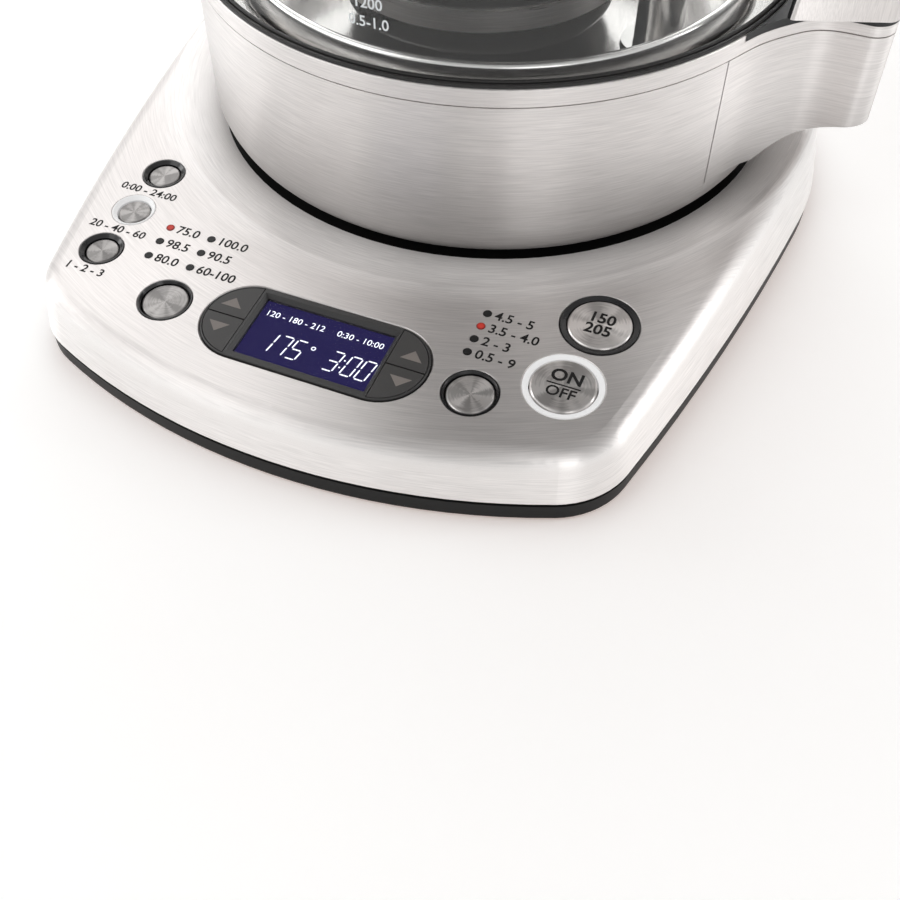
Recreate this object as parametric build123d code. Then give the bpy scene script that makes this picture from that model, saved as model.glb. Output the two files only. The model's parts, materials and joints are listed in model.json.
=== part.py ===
"""Automatic tea maker: a glass jug on a sloped power base, with a tea basket that a
motor lifts and lowers on a post inside the jug.

Millimetres, +Z up.  The jug's axis is the Z axis, and z = 0 is the worktop.  The control
panel faces -Y, the handle is at +X and the spout at -X.
"""
import math
import os

from build123d import *

os.makedirs("parts", exist_ok=True)

# ------------------------------------------------------------------ clearances
sheet = 0.8                 # pressed steel sheet
touch_gap = 0.1             # between pieces that are assembled once
moving_gap = 0.3            # between pieces that move past each other
running_gap = 0.05          # radial, round a turning shaft

# ------------------------------------------------------------------ power base
well_radius = 80.5
dish_width = 13.5           # sloping steel round the well
back_margin = 4.6           # steel behind the dish
panel_reach = 52.9          # steel in front of the dish
# The outline is four kinds of arc, tangent to each other.
back_radius = well_radius + dish_width + back_margin    # round the jug's axis
side_radius = 830.0
side_angle = 5.65           # degrees in front of the X axis, where the side arc starts
corner_radius = 21.7
front_radius = 172.0
front_reach = well_radius + dish_width + panel_reach    # from the jug's axis to the front edge

foot_height = 0.4
foot_sink = 1.0             # how deep a foot sits in the tray
foot_ring_radius = 60.0
foot_ring_width = 8.0
front_foot_radius = 7.0
front_foot_side = 36.6      # from the base's side
front_foot_x = back_radius - front_foot_side
front_foot_back = 38.9      # behind the front edge
front_foot_y = front_foot_back - front_reach

tray_floor = 2.2            # thickness
tray_inset = 0.2
tray_top = 5.3
tray_round = 1.0
tray_wall = 4.2
shadow_depth = 3.4          # groove under the cover's edge
upstand_height = 2.6        # the tray's wall above the cover's edge

cover_bottom = 6.5
cover_draft = 9.0           # degrees
edge_round = 5.0            # the cover's top edge

panel_back = 46.9           # behind the front edge, where the panel's height is given
panel_y = panel_back - front_reach
panel_height = 22.5
panel_slope = 0.065         # rise for each millimetre towards the back

well_edge = 21.2            # height of the well's edge
dish_round = 2.0
well_floor = 16.5
well_skirt = 3.5            # the cover's wall below the well's edge
seat_thickness = 2.0

plug_radius = 15.5
plug_height = 10.5
plug_bore = 4.0
contact_radii = (6.0, 9.0, 12.0)
contact_width = 1.0
contact_height = 0.6

gland_height = 17.5
gland_radius = 5.5
gland_bore = 3.4
gland_reach = 4.5           # outside the cover
gland_flange = 1.8
gland_depth = 8.0           # inside the cover

# ------------------------------------------------------------------ panel parts
ring_lip = 0.8              # flange of a button's ring, under the cover
ring_proud = 0.1
ring_edge = 0.25            # flat outside a ring's bowl
hole_round = 0.25           # bright bevel round each hole in the cover
frame_gap = 1.2             # between the cover and the switch frame
frame_thickness = 1.5
frame_reach = 64.0          # the switch frame's size from front to back
frame_inset = 13.0
board_drop = 8.5            # board's top below the panel
board_thickness = 1.6
board_inset = 17.0
board_reach = 56.0
switch_side = 4.5
switch_height = 1.6
press = 0.8                 # travel of a round button
key_press = 0.6             # travel of a display key
stem_radius = 1.2
cap_collar = 0.9            # the flange that keeps a cap in
collar_thickness = 1.0
cap_round = 0.6

small_ring = 5.69
small_cap = 4.3
small_proud = -0.7           # the cap's top against the panel
small_bowl = 0.8            # depth of the ring's slope towards the cap
selector_ring = 6.8
selector_cap = 5.9
selector_proud = -0.5
selector_bowl = 0.7
big_ring = 9.68
big_cap = 7.95
big_proud = 0.1
big_bowl = 0.35

# Places on the panel: how far from the base's side, and how far behind its front edge.
small_side = 32.5
small_back = (67.4, 51.8, 36.1)
selector_gap = 11.35        # from the display's end
selector_back = 26.1
water_side, water_back = 36.2, 57.1
brew_side, brew_back = 38.1, 35.8
small_x = small_side - back_radius
water_x = back_radius - water_side
brew_x = back_radius - brew_side
small_y = [back - front_reach for back in small_back]
selector_y = selector_back - front_reach
water_y = water_back - front_reach
brew_y = brew_back - front_reach

led_radius = 1.05
led_proud = 0.15
tea_led_step = (12.9, 25.2)     # from the small buttons
strength_led_step = 5.35        # from the strength selector
tea_led_back = (49.3, 43.9, 38.3)
tea_led_x = [small_x + step for step in tea_led_step]
strength_led_back = (50.7, 46.3, 41.9, 37.5)
tea_led_y = [back - front_reach for back in tea_led_back]
strength_led_y = [back - front_reach for back in strength_led_back]

display_back = 27.1
display_y = display_back - front_reach
display_half = 29.7         # half the length of the display's frame
selector_x = display_half + selector_gap
strength_led_x = selector_x - strength_led_step
display_radius = 11.7       # of its round ends
display_proud = 0.3
display_depth = 3.5
display_gap = 0.4           # between its frame and the cover
window_half = 17.5
window_front = 9.2          # from display_y towards the front
window_back = 9.4
bevel = 0.9
bevel_depth = 0.8
window_thickness = 0.6
window_sink = 0.9
lcd_margin = 1.6
key_rim = 0.4               # the frame's rim outside the keys
key_start = 18.9
key_clearance = 0.2         # round each key
key_floor = 2.2
key_thickness = 1.3

panel_screw_gap = 10.95     # from the selectors' centres
panel_screw_x = selector_x + panel_screw_gap
panel_screw_back = (22.9, 68.9)
panel_screw_y = [back - front_reach for back in panel_screw_back]
panel_screw_reach = 3.0     # into the frame's boss
seat_screw_radius = 44.0
screw_radius = 1.4
screw_head = 2.8
screw_head_height = 1.6
boss_wall = 1.8

# ------------------------------------------------------------------ jug
band_overhang = 1.5         # the band is wider than the well that its foot stands in
band_radius = well_radius + band_overhang
band_thickness = 1.0
band_round = 12.0
band_lift = 2.7             # above the well's floor
band_height = 47.5
band_bottom = well_floor + band_lift
band_top = band_bottom + band_height
band_turn_in = 6.0          # flat under the band
lip_proud = 0.1             # outside the band
lip_height = 4.9
lip_thickness = 1.3
lip_edge = 0.25             # rounding of its top edge
seam_height = 0.35          # groove between the band and the lip
seam_depth = 0.8
lip_radius = band_radius + lip_proud
lip_top = band_top + lip_height
gasket_thickness = 1.1
gasket_proud = 1.2          # its inner bead above the lip
gasket_flange = 0.7         # its outer bead, which lies on the lip
gasket_margin = 0.3         # bare steel outside it
gasket_under = 0.6          # how far it reaches inside the glass

plate_thickness = 2.2
plate_rim = 1.0
plate_inset = 2.0           # inside the band's flat
plate_radius = band_radius - band_round - plate_inset
socket_wall = 2.0
socket_height = 14.0

glass_radius = lip_radius - lip_thickness - gasket_thickness - 2 * touch_gap
glass_wall = 2.8
pan_rim_drop = 0.3          # the pan's rim below the band's top
pan_depth = 20.9
pan_thickness = 1.0
pan_ledge = 9.5             # from the pan's wall out to the glass
pan_reach = 0.2             # the rim's edge outside the glass
pan_round = 13.0
pan_rim_round = 3.0
pan_flat_radius = glass_radius - pan_ledge - pan_round
pan_rim = band_top - pan_rim_drop
pan_floor = pan_rim - pan_depth
element_radius = 40.0
element_tube = 3.2
element_turn = 300.0

glass_seat = 0.8            # the gasket's thickness under the glass
glass_height = 137.8
shoulder_height = 8.8       # upright glass at the bottom
neck_height = 11.0          # upright glass at the top
waist_height = 66.8         # where the wall's waist is given, above the glass's foot
waist_inset = 6.5           # how far the wall has come in there
neck_inset = 18.0           # and at the top
bead_round = 1.2
glass_bottom = pan_rim + glass_seat
glass_shoulder = glass_bottom + shoulder_height
glass_middle = glass_bottom + waist_height
glass_top = glass_bottom + glass_height
glass_neck = glass_top - neck_height
glass_middle_radius = glass_radius - waist_inset
glass_top_radius = glass_radius - neck_inset

collar_cover = 9.0          # how far the collar comes down over the glass
collar_rise = 17.0          # the collar's top above the glass
collar_bottom = glass_top - collar_cover
collar_top = glass_top + collar_rise
collar_sheet = 1.2
collar_gap = 1.6            # filled by the seal
mouth_inset = 5.0           # the mouth's edge inside the glass's outside
mouth_radius = glass_top_radius - mouth_inset
sleeve_depth = 14.0
spout_throw = 19.5          # from the glass's top out to the spout's tip
spout_axis_inset = 3.5
spout_depth = 23.0
spout_tip_round = 8.0
spout_reach = glass_top_radius + spout_throw
spout_axis = glass_top_radius - spout_axis_inset
spout_foot = collar_top - spout_depth
pour_half = 13.0
pour_drop = 3.5             # the pour window's top below the collar's
pour_height = 9.5
pour_high = collar_top - pour_drop
pour_low = pour_high - pour_height

handle_front = 14.0         # half width of the grip
handle_reach = 25.6         # from the lip to the outside of the handle's foot
handle_out = lip_radius + handle_reach
flare_angle = 27.0          # degrees each side of X where the foot leaves the band
flare_out, flare_side = -3.2, 12.6      # a point of the flare, from the lip and from the grip's side
neck_out, neck_side = 2.6, 5.7          # and one of its neck
foot_straight = 10.0        # the grip's straight side, back from the handle's outside
foot_bottom_drop = 35.2     # the foot's underside below the band's top
foot_bottom = band_top - foot_bottom_drop
foot_corner = 6.0
# The foot's underside is an arc: how far out from the band, and how high above its start.
arch_start, arch_middle, arch_end = (0.0, 0.0), (9.2, 6.2), (25.6, 10.5)
saddle_thickness = 1.8      # black plastic on the foot, flush with its sides
column_gap = 0.3            # between the lip and the column's foot
column_lean = 10.8          # how far the column's inner side leans out
column_flare = 6.0          # how far its outer side does
column_in_low = lip_radius + column_gap
column_in = column_in_low + column_lean
column_out = handle_out + column_flare
column_low_half = 23.2
column_half = 12.5
knee_height = 24.4          # of the column's knee above the lip
saddle_low = lip_top - saddle_thickness
column_knee = lip_top + knee_height
column_corner = 3.5
column_inner_corner = 1.5
core_strip = 0.9            # bare core along the column's inner edge
cover_sheet = 1.2
arm_thickness = 14.0
arm_round = 3.0
tenon_inset = 3.2
tenon_depth = 18.0

# ------------------------------------------------------------------ lift
post_radius = 6.5
post_wall = 0.8
post_inset = 4.7            # between the post and the glass's neck
post_clearance = 2.6        # between the post and the basket's rim
post_spare = 13.0           # post above the carrier at the top of its travel
post_flange = 10.0
post_flange_thickness = 1.2
cap_height = 3.0
screw_core = 2.2
motor_radius = 10.0
motor_height = 18.0
nut_height = 16.0
nut_drop = 1.8              # the nut's top below the basket's rim
magnet_wall = 2.2
carrier_wall = 1.2
lift_travel = 72.0

basket_x = -5.0
basket_wall = 0.6
basket_lift = 5.5           # above the pan's floor
cup_inset = 3.0             # the cup's wall inside the basket's
cup_height = 10.5
cup_round = 3.0
lower_ring_proud = 1.0      # outside the basket's wall
lower_ring_height = 5.5
upper_ring_proud = 2.4
upper_ring_height = 6.2
shell_height = 41.8
post_x = glass_top_radius - glass_wall - post_inset - post_radius
basket_radius = post_x - post_radius - post_clearance - upper_ring_proud - basket_x
cup_radius = basket_radius - cup_inset
lower_ring_radius = basket_radius + lower_ring_proud
upper_ring_radius = basket_radius + upper_ring_proud
basket_bottom = pan_floor + basket_lift
cup_top = basket_bottom + cup_height
upper_ring_bottom = cup_top + lower_ring_height + shell_height
nut_bottom = upper_ring_bottom - nut_drop - nut_height
post_top = nut_bottom + nut_height + lift_travel + post_spare
hoop_width = 3.6
hoop_height = 3.5
basket_lid_height = 2.6
basket_knob_radius = 6.0
basket_knob_height = 7.0
strainer_wall = 0.6

# ------------------------------------------------------------------ jug lid
lid_overhang = 3.0          # the lid's rim outside the collar's mouth
lid_radius = mouth_radius + lid_overhang
lid_sheet = 1.0
lid_dome = 4.0
lid_plug_depth = 10.0
lid_plug_wall = 2.0
seal_height = 3.0
seal_wall = 1.5
knob_stem = 6.0
knob_stem_height = 7.0
knob_radius = 17.0
knob_height = 11.0

panel_tilt = math.degrees(math.atan(panel_slope))
far = 400.0                 # larger than the object, for cutting solids


# ------------------------------------------------------------------ helpers
def panel_z(y):
    """Height of the panel's plane at y."""
    return panel_height + panel_slope * (y - panel_y)


def on_panel(x, y, lift=0.0):
    """A place on the panel, turned so that its Z axis is the panel's normal."""
    return Pos(x, y, panel_z(y)) * Rot(panel_tilt, 0, 0) * Pos(0, 0, lift)


def under_panel(depth):
    """Everything that lies deeper than this below the panel's plane."""
    return on_panel(0, 0, -depth - far / 2) * Box(2 * far, 2 * far, far)


def disc(radius, low, high):
    """An upright cylinder on the Z axis between two heights."""
    return Pos(0, 0, (low + high) / 2) * Cylinder(radius, high - low)


def tube(outer, inner, low, high):
    """An upright tube on the Z axis between two heights."""
    return disc(outer, low, high) - disc(inner, low - 1, high + 1)


def arc(centre, radius, start, end):
    """An arc about centre from one angle to another, in degrees."""
    middle = (start + end) / 2
    points = [
        (centre[0] + radius * math.cos(math.radians(a)), centre[1] + radius * math.sin(math.radians(a)))
        for a in (start, middle, end)
    ]
    return ThreePointArc(*points)


def spun(edges):
    """The solid that a closed outline in the XZ plane sweeps round the Z axis."""
    return revolve(Plane.XZ * make_face(edges), Axis.Z)


def save(node, shape):
    """Write one sub-part."""
    solids = shape.solids()
    export_step(solids[0] if len(solids) == 1 else Compound(children=list(solids)), f"parts/{node}.step")


# ------------------------------------------------------------------ base outline
def outline_centres():
    """Centres of the side, corner and front arcs, for +X."""
    turn = math.radians(-side_angle)
    side = (-(side_radius - back_radius) * math.cos(turn), -(side_radius - back_radius) * math.sin(turn))
    front = (0.0, front_radius - front_reach)
    to_side = side_radius - corner_radius
    to_front = front_radius - corner_radius
    across = math.dist(side, front)
    ux, uy = (front[0] - side[0]) / across, (front[1] - side[1]) / across
    along = (to_side**2 - to_front**2 + across**2) / (2 * across)
    off = math.sqrt(to_side**2 - along**2)
    corner = (side[0] + along * ux + off * uy, side[1] + along * uy - off * ux)
    return side, corner, front


def angle_to(start, end):
    """Direction from one point to another, in degrees."""
    return math.degrees(math.atan2(end[1] - start[1], end[0] - start[0]))


def outline(inset, z):
    """The base's outline, moved inwards, as a face at height z."""
    side, corner, front = outline_centres()
    side_end = angle_to(side, corner)
    corner_end = angle_to(front, corner)
    right = [
        arc(front, front_radius - inset, -90, corner_end),
        arc(corner, corner_radius - inset, corner_end, side_end),
        arc(side, side_radius - inset, side_end, -side_angle),
        arc((0.0, 0.0), back_radius - inset, -side_angle, 90),
    ]
    left = [mirror(edge, Plane.YZ) for edge in right]
    return Pos(0, 0, z) * make_face(right + left)


def outline_block(inset_low, low, inset_high, high):
    """A block on the base's outline, drafted between two insets."""
    return loft([outline(inset_low, low), outline(inset_high, high)], ruled=True)


# ------------------------------------------------------------------ base: shells
def cover_block(skin):
    """The cover's outer form, or with a skin its inner form."""
    height = panel_z(back_radius) + edge_round - cover_bottom
    drift = height * math.tan(math.radians(cover_draft))
    block = outline_block(skin, cover_bottom, skin + drift, cover_bottom + height)
    block = block & under_panel(skin)
    top = block.faces().sort_by(Axis.Z)[-1]
    return fillet(top.edges(), edge_round - skin)


def well_block(skin):
    """What the well and the sloping dish round it take out of the cover."""
    reach = 2.0             # the dish's slope goes on past the panel by its own width
    low = Pos(0, 0, well_edge - skin) * Circle(well_radius + skin)
    rise = panel_z(0) - well_edge
    tilt = panel_slope * (well_radius + dish_width)
    radius = well_radius + reach * dish_width + skin
    slope = reach * tilt / radius
    stretch = math.hypot(1.0, slope)
    lean = math.degrees(math.atan(slope))
    high = Pos(0, 0, well_edge + reach * rise - skin) * Rot(lean, 0, 0) * Ellipse(radius, radius * stretch)
    dish = loft([low, high], ruled=True)
    return dish + disc(well_radius + skin, 0, well_edge - skin + touch_gap)


def make_top_cover():
    """Pressed steel cover with its well, panel holes and gland hole."""
    outer = cover_block(0.0) - well_block(0.0)
    sharp = [e for e in outer.edges() if is_dish_edge(e)]
    outer = fillet(sharp, dish_round)
    inner = cover_block(sheet) - well_block(sheet)
    cover = outer - inner
    skirt = tube(well_radius + sheet, well_radius, well_edge - well_skirt, well_edge - sheet / 2)
    cover = cover + skirt
    cuts = [on_panel(x, y) * bevelled_hole(ring + touch_gap) for x, y, ring in ring_places()]
    cuts += [on_panel(x, y) * Cylinder(led_radius + touch_gap, 4 * sheet) for x, y in led_places()]
    cuts.append(on_panel(0, display_y, -2 * sheet) * pill(display_gap, 4 * sheet))
    cuts.append(on_panel(0, display_y) * loft([
        Pos(0, 0, level) * pill_face(display_gap + hole_round + level) for level in (-hole_round, hole_round)]))
    cuts.append(gland_hole())
    return cover - cuts


def bevelled_hole(radius):
    """What a round hole with a bevelled edge takes out of the panel."""
    bevel_cut = Cone(radius, radius + 2 * hole_round, 2 * hole_round)
    return Cylinder(radius, 4 * sheet) + bevel_cut


def is_dish_edge(edge):
    """Whether an edge is where the dish meets the panel or the rounded top edge."""
    box = edge.bounding_box()
    far_out = max(abs(box.min.X), abs(box.max.X), abs(box.min.Y), abs(box.max.Y))
    on_well = abs(edge.position_at(0.5).Z - well_edge) < 0.01
    mid = edge.position_at(0.5)
    radius = math.hypot(mid.X, mid.Y)
    return not on_well and radius < well_radius + dish_width + 0.5 and far_out < back_radius - 1


def make_base_tray():
    """Black tray under the cover, with bosses for the screws."""
    low = outline_block(tray_inset, foot_height, tray_inset, tray_top)
    low = fillet(low.faces().sort_by(Axis.Z)[0].edges(), tray_round)
    rim = tray_inset + shadow_depth
    low = low + outline_block(rim, tray_top, rim, cover_bottom)
    drift = math.tan(math.radians(cover_draft)) * upstand_height
    fit = sheet + drift + touch_gap
    low = low + outline_block(fit, cover_bottom, fit, cover_bottom + upstand_height)
    hollow = rim + tray_wall / 2
    tray = low - outline_block(hollow, foot_height + tray_floor, hollow, cover_bottom + far / 10)
    tray = tray + [Pos(x, y, 0) * panel_boss() for x, y in panel_screw_places()]
    tray = tray + [Pos(x, y, 0) * seat_boss() for x, y in seat_screw_places()]
    tray = tray - tube(foot_ring_radius + foot_ring_width / 2, foot_ring_radius - foot_ring_width / 2,
                       0, foot_height + foot_sink)
    cuts = [Pos(x, front_foot_y, 0) * disc(front_foot_radius, 0, foot_height + foot_sink)
            for x in (-front_foot_x, front_foot_x)]
    cuts += [Pos(x, y, 0) * screw_hole() for x, y in panel_screw_places() + seat_screw_places()]
    cuts.append(gland_hole())
    return tray - cuts


def panel_boss():
    """A boss from the tray's floor, cut to the board's underside."""
    return disc(screw_radius + touch_gap + boss_wall, foot_height, panel_height)


def make_tray_with_bosses():
    """The tray, with each panel boss cut off under the board."""
    tray = make_base_tray()
    over_board = on_panel(0, 0, -board_drop - board_thickness + far / 2) * Box(2 * far, 2 * far, far)
    for x, y in panel_screw_places():
        column = Pos(x, y, 0) * disc(screw_radius + 2 * boss_wall, foot_height + tray_floor, far)
        tray = tray - (column & over_board)
    return tray


def seat_boss():
    """A boss from the tray's floor to the seat disc."""
    return disc(screw_radius + touch_gap + boss_wall, foot_height, well_floor - seat_thickness)


def screw_hole():
    """Clearance for a screw and its head, from below."""
    return (disc(screw_radius + touch_gap, 0, panel_height)
            + disc(screw_head + touch_gap, 0, foot_height + screw_head_height))


def panel_screw_places():
    """The four screws that hold the panel's parts."""
    return [(x, y) for x in (-panel_screw_x, panel_screw_x) for y in panel_screw_y]


def seat_screw_places():
    """The four screws under the seat disc."""
    angles = [math.radians(a) for a in (45, 135, 225, 315)]
    return [(seat_screw_radius * math.cos(a), seat_screw_radius * math.sin(a)) for a in angles]


def make_seat_disc():
    """Black floor of the well, with the stem for the connector."""
    low = well_floor - seat_thickness
    seat = disc(well_radius - touch_gap, low, well_floor)
    seat = seat - disc(plug_radius + touch_gap, low - 1, well_floor + 1)
    return seat - [Pos(x, y, 0) * disc(screw_radius + touch_gap, low - 1, well_floor - seat_thickness / 4)
                   for x, y in seat_screw_places()]


def make_base_connector():
    """Round plug that stands in the middle of the well."""
    flange = disc(plug_radius + 4, well_floor - seat_thickness - 2, well_floor - seat_thickness)
    plug = disc(plug_radius, well_floor - seat_thickness, well_floor + plug_height)
    plug = chamfer(plug.faces().sort_by(Axis.Z)[-1].edges(), 1.2)
    plug = plug + flange - disc(plug_bore, 0, far)
    for radius in contact_radii:
        plug = plug - contact(radius)
    return plug


def contact(radius):
    """One ring contact, flush with the plug's top but for its height."""
    top = well_floor + plug_height
    return tube(radius + contact_width / 2, radius - contact_width / 2, top - 3, top + contact_height)


def make_contact_rings():
    """Brass rings on the plug."""
    return Compound(children=[s for r in contact_radii for s in contact(r).solids()])


def make_foot_ring():
    """Rubber ring under the jug."""
    return tube(foot_ring_radius + foot_ring_width / 2, foot_ring_radius - foot_ring_width / 2,
                0, foot_height + foot_sink)


def make_front_feet():
    """Two rubber feet under the panel."""
    return Compound(children=[s for x in (-front_foot_x, front_foot_x)
                              for s in (Pos(x, front_foot_y, 0)
                                        * disc(front_foot_radius, 0, foot_height + foot_sink)).solids()])


def gland_hole():
    """The hole for the gland through the back wall."""
    length = 2 * (gland_depth + gland_reach)
    return Pos(0, back_radius, gland_height) * Rot(90, 0, 0) * Cylinder(gland_radius + touch_gap, length)


def make_cord_gland():
    """Strain relief in the back wall, where the mains cord would come in."""
    wall = back_radius
    spans = [
        (gland_radius, wall - gland_depth, wall + gland_reach),
        (gland_radius + gland_flange, wall + touch_gap, wall + gland_reach / 2),
        (gland_radius + gland_flange, wall - gland_depth, wall - gland_depth / 2),
    ]
    turned = Pos(0, 0, gland_height) * Rot(-90, 0, 0)
    solid = turned * disc(*spans[0])
    for span in spans[1:]:
        solid = solid + turned * disc(*span)
    return solid - turned * disc(gland_bore, 0, far)


# ------------------------------------------------------------------ base: panel
def ring_places():
    """Every round button: its place and its ring's radius."""
    places = [(small_x, y, small_ring) for y in small_y]
    places += [(-selector_x, selector_y, selector_ring), (selector_x, selector_y, selector_ring)]
    places += [(water_x, water_y, big_ring), (brew_x, brew_y, big_ring)]
    return places


def led_places():
    """Every lamp's place: two columns for the tea and one for its strength."""
    return ([(x, y) for x in tea_led_x for y in tea_led_y]
            + [(strength_led_x, y) for y in strength_led_y])


def pill_face(grow):
    """The display's outline, as a face."""
    return SlotOverall(2 * (display_half + grow), 2 * (display_radius + grow))


def pill(grow, height):
    """The display's outline, standing on z = 0."""
    return extrude(pill_face(grow), amount=height)


def button_ring(x, y, ring, cap, bowl):
    """The ring round a cap: it slopes in towards the cap and has a flange under the cover."""
    hole = cap + moving_gap
    solid = (disc(ring, -sheet - frame_gap, ring_proud)
             + disc(ring + ring_lip, -sheet - frame_gap, -sheet - touch_gap)
             - disc(hole, -far / 2, far / 2)
             - Pos(0, 0, ring_proud - bowl / 2) * Cone(hole, ring - ring_edge, bowl))
    return on_panel(x, y) * solid


def make_rings(chosen):
    """Some of the rings, as one group."""
    sizes = {small_ring: (small_cap, small_bowl), selector_ring: (selector_cap, selector_bowl),
             big_ring: (big_cap, big_bowl)}
    places = [ring_places()[i] for i in chosen]
    return Compound(children=[s for x, y, r in places for s in button_ring(x, y, r, *sizes[r]).solids()])


def make_button(x, y, cap, proud):
    """A cap with its keeping collar and its stem."""
    frame_bottom = sheet + frame_gap + frame_thickness
    collar_top_z = -frame_bottom - moving_gap
    head = disc(cap, collar_top_z - collar_thickness, proud)
    head = fillet(head.faces().sort_by(Axis.Z)[-1].edges(), cap_round)
    collar = disc(cap + cap_collar, collar_top_z - collar_thickness, collar_top_z)
    stem = disc(stem_radius, stem_end(press), collar_top_z)
    return on_panel(x, y) * (head + collar + stem)


def stem_end(travel):
    """Where a stem ends, so that it clears its switch when it is pressed."""
    return -board_drop + switch_height + moving_gap + travel


def make_switch_frame():
    """Plate under the cover that carries the rings, lamps and display."""
    top = sheet + frame_gap
    plate = outline_block(frame_inset, 0, frame_inset, panel_height + edge_round)
    plate = plate & under_panel(top)
    plate = plate - under_panel(top + frame_thickness)
    front_only = Pos(0, frame_reach / 2 - front_reach + frame_inset, 0) * Box(far, frame_reach, far)
    plate = plate & front_only
    plate = plate - well_block(2 * sheet)
    caps = {small_ring: small_cap, selector_ring: selector_cap, big_ring: big_cap}
    plate = plate - [on_panel(x, y) * Cylinder(caps[r] + moving_gap, 4 * top) for x, y, r in ring_places()]
    plate = plate - on_panel(0, display_y, -4 * top) * pill(touch_gap, 8 * top)
    boss = disc(screw_radius + boss_wall, 0, far)
    between = under_panel(top) - under_panel(board_drop)
    plate = plate + [(Pos(x, y, 0) * boss) & between for x, y in panel_screw_places()]
    hole = disc(screw_radius, 0, far) & under_panel(board_drop - panel_screw_reach)
    return plate - [(Pos(x, y, 0) * hole) & under_panel(board_drop - panel_screw_reach)
                    for x, y in panel_screw_places()]


def make_control_board():
    """Circuit board under the panel."""
    board = outline_block(board_inset, 0, board_inset, panel_height + edge_round)
    board = (board & under_panel(board_drop)) - under_panel(board_drop + board_thickness)
    board = board & (Pos(0, board_reach / 2 - front_reach + board_inset, 0) * Box(far, board_reach, far))
    board = board - disc(well_radius + 2 * sheet, 0, far)
    return board - [Pos(x, y, 0) * disc(screw_radius + touch_gap, 0, far) for x, y in panel_screw_places()]


def make_switches():
    """A push switch on the board under each button and key."""
    places = [(x, y) for x, y, _ in ring_places()] + key_centres()
    base = -board_drop + switch_height / 2
    return Compound(children=[s for x, y in places
                              for s in (on_panel(x, y, base) * Box(switch_side, switch_side, switch_height)).solids()])


def make_lamps():
    """The round lenses of the lamps beside the labels."""
    height = led_proud + sheet + frame_gap
    return Compound(children=[s for x, y in led_places()
                              for s in (on_panel(x, y, led_proud - height / 2) * Cylinder(led_radius, height)).solids()])


def window_box(grow, low, high):
    """A block on the window's outline, in the display's own frame."""
    depth = window_front + window_back
    middle = (window_back - window_front) / 2
    return Pos(0, middle, (low + high) / 2) * Box(2 * (window_half + grow), depth + 2 * grow, high - low)


def key_face(side, level, shrink):
    """Outline of one display key: side is -1 or 1, level is -1 for down and 1 for up."""
    end = offset(SlotOverall(2 * display_half, 2 * display_radius), amount=-key_rim - shrink)
    span = display_half - key_start
    start = key_start + shrink
    low = shrink
    corner = Pos(side * (start + span / 2), level * (low + display_radius / 2)) * Rectangle(span, display_radius)
    return end & corner


def key_centres():
    """Where the four keys press their switches."""
    across = (key_start + display_half) / 2
    up = display_radius / 3
    return [(side * across, display_y + level * up) for side in (-1, 1) for level in (1, -1)]


def make_display_frame():
    """Bezel with its window and four key pockets."""
    frame = Pos(0, 0, -display_depth) * pill(0.0, display_depth + display_proud)
    frame = fillet(frame.faces().sort_by(Axis.Z)[-1].edges(), display_proud)
    lip = Pos(0, 0, -sheet - frame_gap) * pill(ring_lip, frame_gap)
    frame = frame + lip
    mouth = loft([Pos(0, (window_back - window_front) / 2, -bevel_depth)
                  * Rectangle(2 * window_half, window_front + window_back),
                  Pos(0, (window_back - window_front) / 2, display_proud + touch_gap)
                  * Rectangle(2 * (window_half + bevel), window_front + window_back + 2 * bevel)])
    frame = frame - mouth - window_box(0.0, -display_depth - 1, 1)
    for side in (-1, 1):
        for level in (-1, 1):
            frame = frame - Pos(0, 0, -key_floor) * extrude(key_face(side, level, 0.0), amount=far)
    stems = [Pos(x, y - display_y, 0) * Cylinder(stem_radius + moving_gap, 4 * display_depth)
             for x, y in key_centres()]
    return on_panel(0, display_y) * (frame - stems)


def make_key(side, level):
    """One display key with its stem."""
    cap = extrude(key_face(side, level, key_clearance), amount=key_thickness)
    cap = Pos(0, 0, display_proud - key_thickness) * cap
    place = [(x, y) for x, y in key_centres() if x * side > 0 and (y - display_y) * level > 0][0]
    stem = Pos(place[0], place[1] - display_y, 0) * disc(stem_radius, stem_end(key_press), -key_thickness / 2)
    return on_panel(0, display_y) * (cap + stem)


def make_display_window():
    """Clear plate in the bezel."""
    return on_panel(0, display_y) * window_box(-touch_gap, -window_sink - window_thickness, -window_sink)


def make_lcd_module():
    """Liquid crystal panel and its backlight, on the board."""
    glass_top_z = -window_sink - window_thickness - touch_gap
    step = window_box(-touch_gap, -display_depth - touch_gap, glass_top_z)
    body = window_box(lcd_margin, -board_drop, -display_depth - touch_gap)
    reach = 2 * (key_start + stem_radius)
    body = body & Box(reach, far, far)
    return on_panel(0, display_y) * (body + step)


def make_panel_screws():
    """Screws up through the tray and the board into the frame's bosses."""
    solids = []
    for x, y in panel_screw_places():
        end = panel_z(y) - board_drop + panel_screw_reach - 1
        solids += (Pos(x, y, 0) * screw(end)).solids()
    return Compound(children=solids)


def make_seat_screws():
    """Screws up through the tray into the seat disc."""
    end = well_floor - seat_thickness / 2
    return Compound(children=[s for x, y in seat_screw_places() for s in (Pos(x, y, 0) * screw(end)).solids()])


def screw(end):
    """A screw with its head in the tray's underside."""
    head_low = foot_height + touch_gap
    return (disc(screw_head, head_low, foot_height + screw_head_height)
            + disc(screw_radius - touch_gap, head_low, end))


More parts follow.
